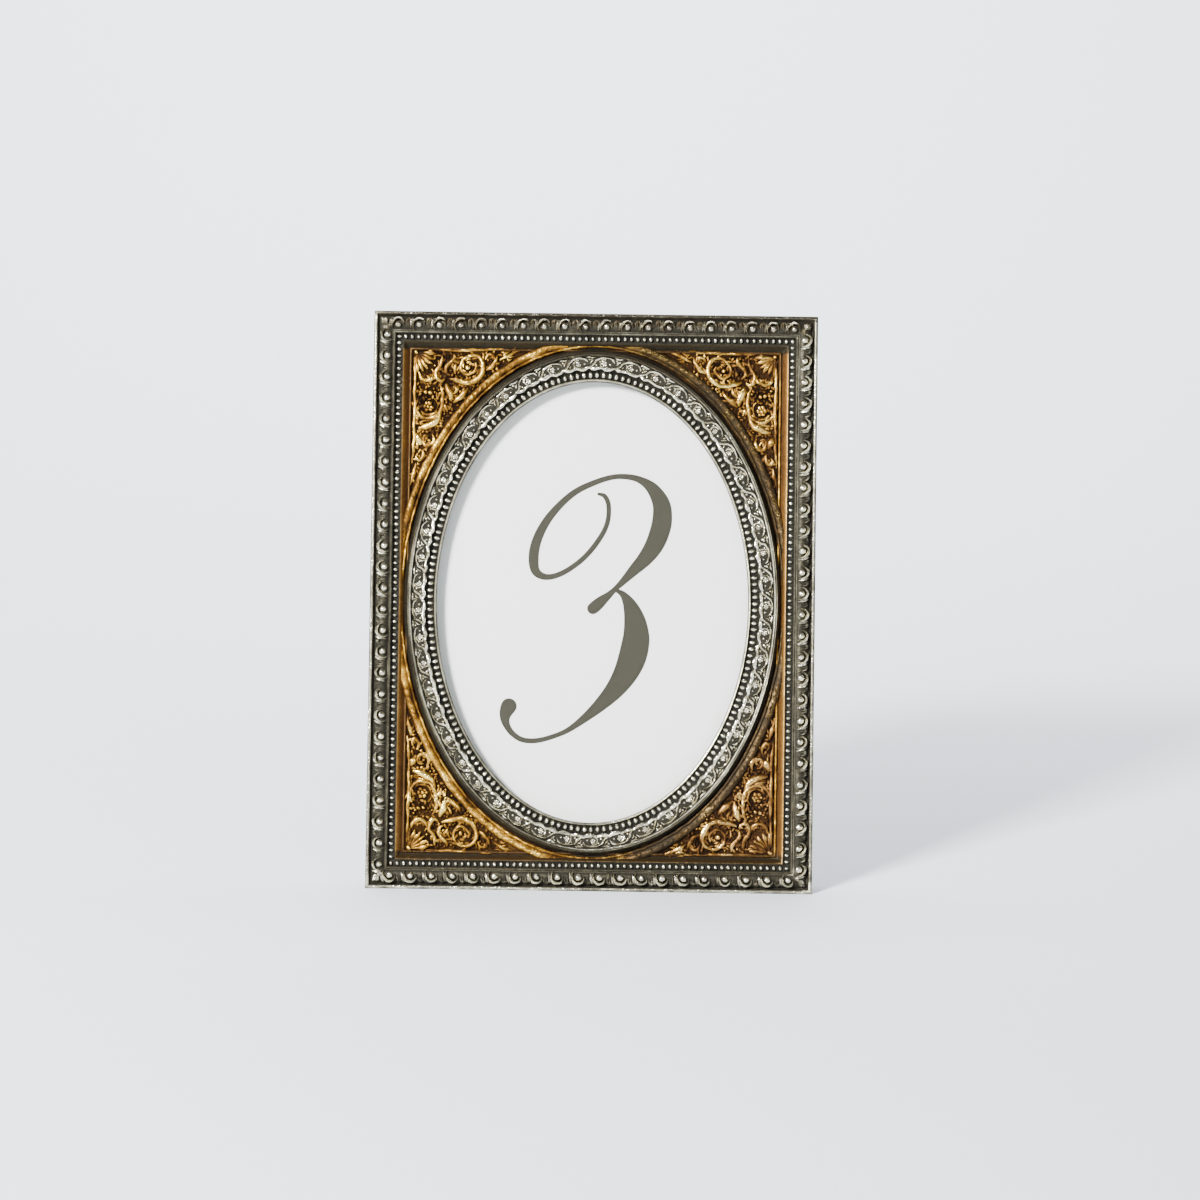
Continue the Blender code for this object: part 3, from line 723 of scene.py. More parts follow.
# one repeat of the vine: strokes of (along, outwards, half width) and berries of (along, outwards,
# radius), in mm
vine = {
    "offset": 6.85,
    "pitch": 10.3,
    "depth": 4.6,
    "lumps": (0.3, 1.7),
    "flower": (6, 1.2, 0.42),  # petals, radius and half width of a petal
    "outerArc": [(-4.9, -0.4, 0.12), (-3.9, -1.7, 0.42), (-2.0, -2.35, 0.52), (0.4, -2.3, 0.5),
                 (2.2, -1.3, 0.44), (3.1, 0.2, 0.42), (4.3, 1.3, 0.4), (5.6, 1.6, 0.2)],
    "innerArc": [(-5.15, 1.5, 0.4), (-3.6, 2.0, 0.65), (-1.8, 2.1, 0.75), (-0.2, 1.7, 0.5),
                 (1.4, 1.7, 0.6), (2.6, 2.0, 0.75), (4.0, 1.9, 0.55), (5.15, 1.5, 0.4)],
    "leaf": [(2.6, -2.6, 0.1), (3.8, -2.3, 0.45), (5.1, -2.4, 0.42), (6.0, -2.0, 0.1)],
    "bud": [(3.4, -1.3, 0.15), (4.2, -0.8, 0.4), (4.5, 0.2, 0.12)],
    "berries": [(2.2, 0.6, 0.42), (4.9, -1.4, 0.42), (-3.3, 0.2, 0.42), (0.9, -0.9, 0.3)],
}


def flowerShape(petals, radius, width):
    outline = ((0.3, 0.3), (0.65, 1.0), (0.95, 0.75), (1.1, 0.2))
    shapes = [ballShape(radius * 0.42, radius * 0.42, radius * 0.42, 8, 6)]
    for i in range(petals):
        angle = math.tau * i / petals
        c, s = math.cos(angle), math.sin(angle)
        shapes.append(strokeShape([(c * radius * r, s * radius * r, w * width)
                                   for r, w in outline], height=0.8, steps=2, sides=6))
    return joined(shapes)


# a stroke that winds from one radius to another: angles in degrees, half widths in mm
def spiralPoints(x, z, outer, inner, start, turn, thick, thin, steps=14):
    points = []
    for i in range(steps + 1):
        t = i / steps
        angle = math.radians(start + turn * t)
        radius = outer + (inner - outer) * t ** 0.8
        points.append((x + radius * math.cos(angle), z + radius * math.sin(angle),
                       thick + (thin - thick) * t))
    return points


def buildVine():
    flower = flowerShape(*vine["flower"])
    outerArc = strokeShape(vine["outerArc"], height=1.3, steps=3)
    innerArc = strokeShape(vine["innerArc"], height=1.0, steps=3)
    curl = strokeShape(spiralPoints(-1.0, -0.05, 1.75, 1.55, 130, -230, 0.2, 0.34, 8),
                       height=1.3, steps=2)
    leaf = joined([strokeShape(vine[part], height=1.2, steps=3) for part in ("leaf", "bud")])
    berries = []
    for along, out, radius in vine["berries"]:
        berries.append(ballShape(radius, radius * 1.3, radius))
        berries[-1].transform(Matrix.Translation((along, 0, out)))
    berries = joined(berries)
    bm = bmesh.new()
    for x, z, tangent in ovalPlaces(vine["offset"], vine["pitch"]):
        depth = vine["depth"] + random.uniform(-0.06, 0.06)
        for shape in (outerArc, innerArc, curl, leaf, berries):
            addCopy(bm, shape, spot(x, z, depth, tangent))
        along = Vector((math.cos(tangent), math.sin(tangent)))
        addCopy(bm, flower, spot(*(Vector((x, z)) - along), depth, tangent, 0.85))
    roughen(bm, *vine["lumps"])
    finishPiece("ringVine", bm, vineSilver, sharp=60)


scroll = {
    "inset": 12.6,  # of the drawing's corner from the outer edges
    "depth": 5.85,
    "height": 0.85,  # of a stroke, against its half width
    "swell": 1.55,  # how much fatter than its line a stroke is cast
    "lumps": (0.42, 2.4),
    "lobeSpacing": 1.8,
    "lobeReach": 1.9,
    "shell": {"x": 3.5, "z": 2.9, "start": 4, "stop": 86, "count": 6, "reach": 7.8, "width": 0.78},
    "shellPearl": (3.6, 2.9, 1.1),
    "shellZone": [(4.5, 4.0, 1.4), (7.0, 6.5, 3.6), (8.2, 7.6, 3.4)],  # kept clear of grains
    "spiralStem": [(12.4, 14.9, 0.3), (13.6, 17.4, 0.7), (14.0, 20.4, 0.85)],
    # middle, outer and inner radius, start and turn in degrees, half widths, steps
    "spiral": (8.6, 23.4, 5.2, 4.9, 0, 215, 0.85, 0.6, 9),
    "innerSpiral": (8.6, 23.7, 3.7, 3.4, -55, 200, 0.3, 0.48, 9),
    "blossom": (6, 2.0, 0.8),  # petals, radius and half width of a petal
    "blossomPlace": (8.6, -0.1, 24.0),
    "blossomZone": [(8.4, 24.0, 2.0), (8.8, 24.0, 2.0)],
    "grains": 2600,  # tries at filling the ground with small leaves
    "grainGap": 0.55,
    "grainRadius": 0.42,
    "grainHeight": 0.62,
    "groundEdge": 17.6,  # how far outside the opening the ground starts
    "groundSpan": ((3.4, 40), (2.4, 52)),
}


# ribs that fan out from a point, as on a shell
def petalFan(x, z, start, stop, count, reach, width):
    outline = ((0.08, 0.25), (0.4, 0.65), (0.75, 1.0), (1.0, 0.4))
    shapes = []
    for i in range(count):
        angle = math.radians(start + (stop - start) * i / (count - 1))
        c, s = math.cos(angle), math.sin(angle)
        shapes.append(strokeShape([(x + c * reach * r, z + s * reach * r, width * w)
                                   for r, w in outline], height=scroll["height"], steps=3))
    return shapes


# one corner's arabesque in mm, u inwards and v upwards from the corner of the gold field:
# strokes of (u, v, half width), and berries of (u, v, radius)
cornerStrokes = [
    # border ridges along the tall and the wide side
    [(3.0, 5.0, 0.2), (3.2, 9.0, 0.42), (3.3, 14.0, 0.4), (3.2, 20.0, 0.5), (3.4, 26.0, 0.5),
     (3.2, 31.0, 0.42), (3.3, 36.0, 0.4), (3.0, 41.0, 0.4), (2.6, 46.0, 0.15)],
    [(10.5, 2.1, 0.15), (14.0, 1.9, 0.4), (19.0, 2.0, 0.4), (25.0, 1.8, 0.45), (31.0, 1.6, 0.4),
     (36.0, 1.4, 0.3), (39.0, 1.2, 0.12)],
    # arch over the shell
    [(4.5, 10.4, 0.25), (5.4, 12.9, 0.55), (7.8, 13.9, 0.62), (10.0, 12.7, 0.5),
     (10.6, 10.6, 0.2)],
    # leaf over the big spiral, and the vein below it
    [(13.4, 26.3, 0.3), (12.0, 29.3, 0.85), (8.6, 31.4, 0.95), (4.9, 32.4, 0.4)],
    [(11.2, 27.6, 0.2), (8.6, 29.3, 0.42), (5.2, 29.9, 0.2)],
    # the blob and the small scroll above
    [(4.0, 34.2, 0.4), (4.9, 36.4, 1.05), (6.0, 38.6, 0.4)],
    [(10.4, 34.4, 0.2), (11.0, 36.4, 0.48), (9.8, 38.6, 0.55), (7.6, 38.8, 0.5), (6.6, 37.0, 0.42),
     (7.4, 35.2, 0.36), (8.9, 35.4, 0.2)],
    # tip along the tall side
    [(6.6, 40.6, 0.2), (6.9, 43.0, 0.5), (5.4, 44.8, 0.5), (4.2, 43.6, 0.4), (4.8, 42.2, 0.2)],
    [(4.0, 46.2, 0.2), (3.6, 49.0, 0.6), (2.6, 52.0, 0.42), (2.2, 54.6, 0.12)],
    # leaf between the spirals
    [(15.2, 14.8, 0.35), (16.4, 17.6, 0.95), (17.2, 20.0, 0.8), (17.4, 22.4, 0.2)],
    [(17.9, 22.6, 0.25), (20.4, 20.6, 0.75), (22.6, 18.2, 0.6), (23.8, 16.2, 0.15)],
    [(18.2, 18.9, 0.2), (19.6, 17.2, 0.55), (20.0, 15.4, 0.2)],
    [(13.6, 22.8, 0.2), (15.2, 23.9, 0.55), (15.9, 26.0, 0.2)],
    # two hooks beside the shell
    [(15.0, 12.8, 0.2), (13.4, 14.1, 0.55), (11.8, 12.8, 0.65), (11.5, 10.2, 0.6),
     (12.8, 8.2, 0.55), (13.7, 6.0, 0.5), (13.6, 3.8, 0.2)],
    [(16.8, 11.6, 0.2), (15.3, 10.8, 0.5), (15.1, 8.8, 0.6), (16.6, 6.8, 0.6), (18.2, 5.2, 0.55),
     (18.2, 3.4, 0.2)],
    # second spiral, from the hooks over the top and down
    [(16.4, 12.8, 0.3), (18.9, 13.7, 0.65), (21.8, 14.3, 0.75), (24.9, 14.3, 0.78),
     (28.0, 12.3, 0.78), (29.6, 8.8, 0.72), (28.7, 5.4, 0.6), (26.2, 3.9, 0.5), (23.2, 4.3, 0.45),
     (21.2, 6.4, 0.45), (20.9, 9.2, 0.45), (22.6, 11.4, 0.42), (25.0, 11.0, 0.4), (26.8, 8.8, 0.5),
     (26.4, 7.0, 0.3)],
    [(18.8, 11.2, 0.2), (18.4, 9.4, 0.5), (19.2, 7.2, 0.2)],
    # beyond it
    [(30.6, 9.6, 0.25), (32.6, 8.2, 0.65), (34.4, 5.8, 0.5), (35.0, 3.6, 0.15)],
    [(30.4, 5.6, 0.2), (31.2, 3.8, 0.5), (33.0, 3.6, 0.42), (33.2, 5.2, 0.2)],
    [(35.8, 5.6, 0.2), (38.2, 4.2, 0.55), (41.4, 2.6, 0.42), (45.0, 1.5, 0.12)],
    [(36.4, 2.4, 0.15), (38.0, 2.6, 0.35), (39.6, 1.9, 0.12)],
]
cornerBerries = [
    (7.3, 18.2, 0.95), (9.2, 18.5, 0.9), (23.6, 8.6, 1.0), (10.6, 16.8, 0.5), (12.4, 17.6, 0.5),
    (5.2, 16.4, 0.55), (6.0, 27.4, 0.5), (12.9, 24.6, 0.45), (14.2, 19.6, 0.5), (9.0, 36.9, 0.55),
    (11.6, 32.2, 0.45), (5.5, 43.2, 0.45), (20.6, 12.0, 0.42), (27.6, 15.4, 0.5), (16.0, 4.2, 0.5),
    (21.0, 3.6, 0.42), (31.8, 11.6, 0.45), (32.2, 4.9, 0.42), (10.9, 5.2, 0.5), (14.9, 16.0, 0.4),
    (10.6, 8.2, 0.42), (25.8, 17.0, 0.42), (8.0, 40.6, 0.4), (34.6, 7.8, 0.4), (37.4, 6.2, 0.35),
    (20.0, 23.2, 0.45), (17.6, 25.2, 0.42), (14.4, 28.4, 0.45),
]


# short leaves that spring off both sides of a stroke
def lobesAlong(points):
    line = smoothLine(points, 8)
    shapes, since, side = [], 0.0, 1
    for a, b, c in zip(line, line[1:], line[2:]):
        since += (b - a).length
        if since < scroll["lobeSpacing"] or b[2] < 0.35:
            continue
        since, side = 0.0, -side
        along = Vector((c[0] - b[0], c[1] - b[1])).normalized()
        out = Vector((-along.y, along.x)) * side
        start = Vector((b[0], b[1])) + out * b[2] * 0.6
        reach = scroll["lobeReach"] * random.uniform(0.8, 1.2)
        middle = start + (along * 0.55 + out * 0.6) * reach * 0.55
        end = start + (along * 1.05 + out * 0.75) * reach
        shapes.append(strokeShape([(*start, 0.35), (*middle, 0.5), (*end, 0.12)],
                                  height=scroll["height"], steps=2, sides=6))
    return shapes


# small curled leaves that fill the ground left between the strokes
def fillGround(strokes):
    corner = Vector((casting["halfWidth"], casting["halfHeight"])) / mm
    corner -= Vector((scroll["inset"], scroll["inset"]))
    taken = [(Vector(p[:2]), p[2]) for stroke in strokes for p in smoothLine(stroke, 4)]
    taken += [(Vector((u, v)), r) for u, v, r in cornerBerries]
    shapes = []
    for i in range(scroll["grains"]):
        at = Vector([random.uniform(*span) for span in scroll["groundSpan"]])
        turn = random.uniform(0, math.tau)
        long, bend = random.uniform(0.5, 1.0), random.uniform(-0.45, 0.45)
        place = (corner - at) * mm
        if insideOval(Vector((place.x, 0, place.y)), scroll["groundEdge"]):
            continue
        if any((at - p).length < w + scroll["grainGap"] for p, w in taken):
            continue
        taken.append((at, scroll["grainRadius"]))
        half = Vector((math.cos(turn), math.sin(turn))) * long
        side = Vector((-half.y, half.x)) * bend
        curl = [(*(at - half), 0.2), (*(at + side), 0.5), (*(at + half), 0.16)]
        shapes.append(strokeShape(curl, height=scroll["grainHeight"], steps=2, sides=6))
    return shapes


# the whole relief of one corner
def scrollwork():
    shapes = petalFan(**scroll["shell"])
    for i, stroke in enumerate(cornerStrokes):
        swollen = [(u, v, w * scroll["swell"]) for u, v, w in stroke]
        shapes.append(strokeShape(swollen, height=scroll["height"], steps=4, sides=8))
        if i > 1:  # the two border ridges stay plain
            shapes += lobesAlong(stroke)
    # big spiral: up from the hooks, round its flower, with a second ridge inside
    spiral = scroll["spiralStem"] + spiralPoints(*scroll["spiral"])
    shapes.append(strokeShape(spiral, height=scroll["height"], steps=4, sides=8))
    shapes += lobesAlong(spiral)
    inner = spiralPoints(*scroll["innerSpiral"])
    shapes.append(strokeShape(inner, height=scroll["height"], steps=3))
    blossom = flowerShape(*scroll["blossom"])
    blossom.transform(Matrix.Translation(scroll["blossomPlace"]))
    shapes.append(blossom)
    for u, v, r in [scroll["shellPearl"], *cornerBerries]:
        ball = ballShape(r, r, r, 10, 8)
        ball.transform(Matrix.Translation((u, 0, v)))
        shapes.append(ball)
    shapes += fillGround([*cornerStrokes, spiral, inner, scroll["shellZone"],
                          scroll["blossomZone"]])
    return joined(shapes)


def buildSpandrels():
    relief = scrollwork()
    cornerX = casting["halfWidth"] / mm - scroll["inset"]
    cornerZ = casting["halfHeight"] / mm - scroll["inset"]
    for sx, sz, name in ((-1, -1, "LowerLeft"), (1, -1, "LowerRight"), (-1, 1, "UpperLeft"),
                         (1, 1, "UpperRight")):
        bm = bmesh.new()
        place = (Matrix.Translation((sx * cornerX * mm, scroll["depth"] * mm, sz * cornerZ * mm))
                 @ Matrix.Diagonal((-sx * mm, mm, -sz * mm, 1)))
        addCopy(bm, relief, place)
        roughen(bm, *scroll["lumps"])
        finishPiece("goldScroll" + name, bm, scrollGold, sharp=60)


rim = {
    "steps": 640,
    "filletCuts": 90,
    "cut": 12.4,  # inset of the moulding's edge, where the band ends
    "lobe": (1.3, 0.5, 0.75),  # a lump of the rope along its outer part: along, deep, across
    "ropeOffset": 15.6,
    "ropePitch": 2.3,
    "ropeDepth": 5.05,
    "ropeTurn": 30,
    "ropeClear": 1.2,  # of the cut
    "lumps": 0.3 * mm,
    "grain": (0.22, 1.9),
    # (offset outside the opening, depth) in mm
    "profile": [(12.9, 7.0), (13.0, 5.9), (13.2, 5.2), (13.45, 4.95), (13.75, 4.95), (14.0, 5.25),
                (14.15, 5.55), (14.35, 5.4), (14.7, 5.1), (15.4, 4.85), (16.1, 4.85), (16.7, 5.15),
                (17.05, 5.7), (17.1, 7.0)],
    # (inset from the outer edge, depth) in mm
    "fillet": [(13.55, 7.0), (13.65, 5.9), (13.9, 5.45), (14.25, 5.35), (14.6, 5.6), (14.8, 7.0)],
}


# the gold band along the oval, cut off where the moulding crosses it
def buildGoldRim():
    bm = bmesh.new()
    first = rim["profile"][0]
    start = edges = ovalLoop(bm, first[0] * mm, first[1] * mm, rim["steps"])
    for (a, b), (c, d) in zip(rim["profile"], rim["profile"][1:]):
        edges = growLoop(bm, edges, ovalStep(a * mm, c * mm, b * mm, d * mm))
    bmesh.ops.bridge_loops(bm, edges=start + edges)
    for vert in bm.verts:
        vert.co.y += noise.noise(vert.co * 420) * rim["lumps"]
    limit = (Vector((casting["halfWidth"], 0, casting["halfHeight"]))
             - Vector((rim["cut"], 0, rim["cut"])) * mm)
    for side in (Vector((1, 0, 0)), Vector((-1, 0, 0)), Vector((0, 0, 1)), Vector((0, 0, -1))):
        everything = list(bm.verts) + list(bm.edges) + list(bm.faces)
        reach = abs(side.x) * limit.x + abs(side.z) * limit.z
        bmesh.ops.bisect_plane(bm, geom=everything, plane_co=side * reach, plane_no=side,
                               clear_outer=True)
        bmesh.ops.holes_fill(bm, edges=[e for e in bm.edges if e.is_boundary], sides=0)
    rope = ballShape(*rim["lobe"])
    clear = rim["ropeClear"] * mm
    for x, z, tangent in ovalPlaces(rim["ropeOffset"], rim["ropePitch"]):
        if abs(x) * mm < limit.x - clear and abs(z) * mm < limit.z - clear:
            turn = tangent + math.radians(rim["ropeTurn"] + random.uniform(-14, 14))
            addCopy(bm, rope, spot(x, z, rim["ropeDepth"] + random.uniform(-0.1, 0.2), turn,
                                   random.uniform(0.75, 1.12)))
    roughen(bm, *rim["grain"])
    finishPiece("goldRim", bm, rimGold, sharp=60)


# the thin gold ridge where the panel meets the moulding
def buildPanelFillet():
    bm = bmesh.new()
    first = rim["fillet"][0]
    start = edges = rectangleLoop(bm, first[0] * mm, first[1] * mm, rim["filletCuts"])
    for (a, b), (c, d) in zip(rim["fillet"], rim["fillet"][1:]):
        edges = growLoop(bm, edges, rectangleStep(a * mm, c * mm, b * mm, d * mm))
    bmesh.ops.bridge_loops(bm, edges=start + edges)
    for vert in bm.verts:
        vert.co.y += noise.noise(vert.co * 250) * rim["lumps"]
    finishPiece("panelFillet", bm, filletGold, sharp=60)


print("casting")
buildCasting()
buildEggRow()
buildBeadRow()
buildPearlRow()
buildVine()
buildGoldRim()
buildPanelFillet()
buildSpandrels()


numeral = {
    "ink": (0.029, 0.0262, 0.0168),
    "spread": 0.6,  # how much wider than its line a stroke prints, in mm
    "thickness": 0.02,  # in mm
    # middle line and full width of the two strokes, from the middle of the oval, in mm
    "upper": [(1.4, 42.1, 0.4), (4.3, 41.0, 1.2), (5.8, 36.9, 1.25), (5.1, 30.0, 1.3),
              (1.4, 23.1, 1.45), (-4.1, 16.6, 1.45), (-11.3, 11.4, 1.5), (-17.5, 9.5, 1.75),
              (-21.9, 11.4, 2.75), (-23.0, 16.6, 3.4), (-22.0, 23.1, 3.2), (-18.9, 30.0, 2.75),
              (-14.2, 36.3, 2.25), (-7.7, 42.3, 1.9), (-0.4, 46.1, 1.65), (6.8, 48.5, 1.45),
              (12.6, 48.8, 1.6), (17.8, 47.6, 2.2), (22.6, 44.3, 4.2), (26.0, 38.7, 6.2),
              (26.6, 33.2, 7.0), (25.8, 28.2, 7.2), (23.6, 22.4, 6.65), (20.2, 17.3, 5.35),
              (15.9, 12.7, 3.75), (11.9, 8.4, 2.2), (8.8, 5.3, 1.5), (6.1, 2.7, 2.2),
              (3.5, 0.5, 3.5), (1.4, -1.4, 4.05), (0.2, -2.4, 3.9)],
    "lower": [(9.0, 4.8, 0.7), (11.7, 3.2, 2.0), (14.2, -0.4, 4.5), (16.1, -5.5, 7.2),
              (17.0, -10.9, 9.1), (16.9, -15.3, 10.1), (15.6, -21.4, 10.2), (13.0, -27.6, 8.8),
              (8.9, -33.8, 6.7), (3.4, -39.7, 4.5), (-2.6, -45.0, 2.6), (-9.1, -49.7, 1.45),
              (-15.6, -52.4, 1.25), (-21.4, -53.8, 1.4), (-26.5, -53.4, 1.45),
              (-30.3, -51.0, 1.6), (-32.4, -48.0, 2.1), (-33.1, -45.6, 3.1), (-32.9, -43.4, 4.3),
              (-32.2, -41.6, 5.2), (-31.7, -40.6, 5.5)],
    "cardDepth": 11.0,
}


# a thin flat stroke of changing width with a round end
def inkStroke(points, depth):
    line = smoothLine([(x, z, (w + numeral["spread"]) / 2) for x, z, w in points], 5)
    end, along = line[-1].copy(), (line[-1] - line[-2])
    along = Vector((along[0], along[1])).normalized()
    steps = 8
    for i in range(1, steps + 1):
        angle = math.pi / 2 * i / steps
        reach = along * end[2] * math.sin(angle)
        line.append(Vector((end[0] + reach.x, end[1] + reach.y, end[2] * math.cos(angle))))
    frames = strokeFrames(line, 1)
    bm = bmesh.new()
    a, b = bm.verts.new((-1, 0, 0)), bm.verts.new((1, 0, 0))
    bmesh.ops.transform(bm, matrix=frames[0], verts=[a, b])
    edges = [bm.edges.new((a, b))]
    for first, second in zip(frames, frames[1:]):
        edges = growLoop(bm, edges, second @ first.inverted())
    grown = bmesh.ops.extrude_face_region(bm, geom=list(bm.faces))["geom"]
    moved = [g for g in grown if isinstance(g, bmesh.types.BMVert)]
    bmesh.ops.translate(bm, verts=moved, vec=(0, -numeral["thickness"], 0))
    bmesh.ops.translate(bm, verts=bm.verts, vec=(0, depth, 0))
    bmesh.ops.recalc_face_normals(bm, faces=bm.faces)
    return meshOf(bm)


def inkMaterial():
    material, tree, shader = newMaterial("warmGreyInk")
    coords = frontCoords(tree)
    speckle = noiseNode(tree, coords, 2200.0, 2.0)
    tone = numeral["ink"]
    colour = rampNode(tree, speckle, [(0.3, [c * 0.85 for c in tone]),
                                      (0.7, [c * 1.15 for c in tone])])
    setShader(tree, shader, Base_Color=colour, Roughness=0.7, Specular_IOR_Level=0.2)
    return material


def paperMaterial(name, tone, shade):
    material, tree, shader = newMaterial(name)
    coords = frontCoords(tree)
    fibres = noiseNode(tree, coords, 900.0, 5.0, 0.7)
    colour = rampNode(tree, fibres, [(0.3, [c * shade for c in tone]), (0.7, tone)])
    setShader(tree, shader, Base_Color=colour, Normal=bumpNode(tree, fibres, 0.00004, 0.6),
              Roughness=0.85)
    return material


# clear glass that mirrors on the way in only, so that a slanted look through it stays clear
def glassMaterial():
    material, tree, shader = newMaterial("clearPictureGlass")
    clear = addNode(tree, "ShaderNodeBsdfTransparent", {"Color": (0.985, 0.992, 0.988, 1)})
    fresnel = addNode(tree, "ShaderNodeFresnel", {"IOR": 1.45})
    gloss = addNode(tree, "ShaderNodeBsdfGlossy", {"Roughness": 0.02})
    inside = addNode(tree, "ShaderNodeNewGeometry").outputs["Backfacing"]
    outside = mathNode(tree, "SUBTRACT", 1.0, inside)
    mirrored = mathNode(tree, "MULTIPLY", fresnel.outputs["Fac"], outside)
    mix = addNode(tree, "ShaderNodeMixShader", {"Fac": mirrored})
    tree.links.new(clear.outputs["BSDF"], mix.inputs[1])
    tree.links.new(gloss.outputs["BSDF"], mix.inputs[2])
    output = next(n for n in tree.nodes if n.type == "OUTPUT_MATERIAL")
    tree.links.new(mix.outputs["Shader"], output.inputs["Surface"])
    tree.nodes.remove(shader)
    return material


def setMaterial(node, material):
    piece = frame["nodes"][node]
    piece.data.materials.clear()
    piece.data.materials.append(material)


def buildNumeral():
    bm = bmesh.new()
    for stroke, lift in (("upper", 0.01), ("lower", 0.015)):
        shape = inkStroke(numeral[stroke], -lift)
        bm.from_mesh(shape)
        bpy.data.meshes.remove(shape)
    place = frontPlace @ spot(0, 0, numeral["cardDepth"])
    finishPiece("cardNumeral", bm, inkMaterial(), place=place, recalc=False)


def woodFibreMaterial():
    material, tree, shader = newMaterial("brownFibreboard")
    coords = frontCoords(tree)
    fibres = noiseNode(tree, coords, 650.0, 6.0, 0.75)
    cloud = noiseNode(tree, coords, 40.0, 3.0)
    fine = rampNode(tree, fibres, [(0.35, (0.12, 0.066, 0.035)), (0.65, (0.30, 0.185, 0.105))])
    colour = mixColours(tree, cloud, fine, (0.20, 0.125, 0.075, 1))
    setShader(tree, shader, Base_Color=colour, Normal=bumpNode(tree, fibres, 0.0001, 0.8),
              Roughness=0.8)
    return material


def velvetMaterial(name):
    material, tree, shader = newMaterial(name)
    coords = addNode(tree, "ShaderNodeTexCoord").outputs["Object"]
    pile = noiseNode(tree, coords, 3000.0, 3.0)
    nap = noiseNode(tree, coords, 45.0, 5.0, distortion=0.3)
    brushed = rampNode(tree, nap, [(0.35, (0.007, 0.007, 0.008)), (0.65, (0.013, 0.013, 0.014))])
    speck = rampNode(tree, pile, [(0.3, (0.6, 0.6, 0.6)), (0.7, (1.0, 1.0, 1.0))])
    colour = mixColours(tree, 1.0, brushed, speck, "MULTIPLY")
    setShader(tree, shader, Base_Color=colour, Normal=bumpNode(tree, pile, 0.00015, 0.7),
              Roughness=0.95, Sheen_Weight=0.25, Sheen_Roughness=0.35,
              Sheen_Tint=(0.55, 0.55, 0.6, 1), Specular_IOR_Level=0.15)
    return material


# noise drawn out into lines: the scale is given along each axis
def lineNoise(tree, scale):
    coords = addNode(tree, "ShaderNodeTexCoord").outputs["Object"]
    stretched = addNode(tree, "ShaderNodeMapping", {"Vector": coords, "Scale": scale})
    return noiseNode(tree, stretched.outputs["Vector"], 1.0, 2.0)


def brassMaterial(name, tone, wornTone):
    material, tree, shader = newMaterial(name)
    coords = addNode(tree, "ShaderNodeTexCoord").outputs["Object"]
    cloud = noiseNode(tree, coords, 130.0, 4.0)
    lines = lineNoise(tree, (2600, 2600, 240))
    colour = rampNode(tree, cloud, [(0.35, wornTone), (0.62, tone)])
    setShader(tree, shader, Base_Color=colour, Normal=bumpNode(tree, lines, 0.00001, 0.5),
              Metallic=1.0, Roughness=rangeNode(tree, cloud, 0.3, 0.7, 0.42, 0.24))
    return material


def satinMaterial():
    material, tree, shader = newMaterial("blackSatinRibbon")
    threads = lineNoise(tree, (900, 4200, 4200))
    colour = rampNode(tree, threads, [(0.35, (0.008, 0.008, 0.009)),
                                      (0.65, (0.028, 0.028, 0.031))])
    setShader(tree, shader, Base_Color=colour, Normal=bumpNode(tree, threads, 0.00005, 0.6),
              Roughness=0.38, Anisotropic=0.6)
    return material


# the strut hangs from its pin: x right, y out of its face, z up along it
pinLow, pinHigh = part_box("hinge_pin")
strutPlace = Matrix.Translation((pinLow + pinHigh) / 2) @ Matrix.Rotation(leanAngle, 4, "X")

turnButton = {
    "halfWidth": 4.0,
    "reach": 16.0,  # from the screw to the free end
    "depth": (17.1, 17.9),
    "edge": 0.22,
    "dish": (1.5, 0.35, 0.28),  # how far in the pressed middle starts, its slope and its height
    "screwX": 71.5,
    "heights": {"lower": -53.0, "upper": 55.0},
}
screw = {
    "head": (2.9, 1.5),  # radius and height
    "slot": 0.3,  # half width
    "shank": (1.2, 6.0),  # radius and length
    "lift": 0.35,  # of the head off the button
    "turns": {"left_lower": 20, "left_upper": -35, "right_lower": 70, "right_upper": 5},
}
rivet = {"head": (2.2, 0.9), "shank": (1.0, 2.8)}


# a flat round-ended outline from the screw towards +x, as one face
def capsule(bm, radius, length, depth):
    made = bmesh.ops.create_circle(bm, cap_ends=True, segments=28, radius=radius,
                                   matrix=Matrix.Translation((0, depth, 0))
                                   @ Matrix.Rotation(math.pi / 2, 4, "X"))
    far = [v for v in made["verts"] if v.co.x > 0.01 * radius]
    bmesh.ops.translate(bm, verts=far, vec=(length, 0, 0))
    return bm.faces[:]


def turnButtonShape():
    bm = bmesh.new()
    near, far = turnButton["depth"]
    radius = turnButton["halfWidth"]
    face = capsule(bm, radius, turnButton["reach"] - radius, 0)
    grown = bmesh.ops.extrude_face_region(bm, geom=face)["geom"]
    top = [g for g in grown if isinstance(g, bmesh.types.BMFace)]
    bmesh.ops.translate(bm, verts=top[0].verts, vec=(0, far - near, 0))
    inset, slope, rise = turnButton["dish"]
    bmesh.ops.inset_region(bm, faces=top, thickness=inset, depth=0)
    outline = [e for e in bm.edges if e.calc_face_angle(0) > 1]
    bmesh.ops.inset_region(bm, faces=top, thickness=slope, depth=0)
    bmesh.ops.translate(bm, verts=top[0].verts, vec=(0, rise, 0))
    bmesh.ops.bevel(bm, geom=outline, offset=turnButton["edge"], affect="EDGES", segments=2,
                    profile=0.5, material=-1)
    return meshOf(bm)


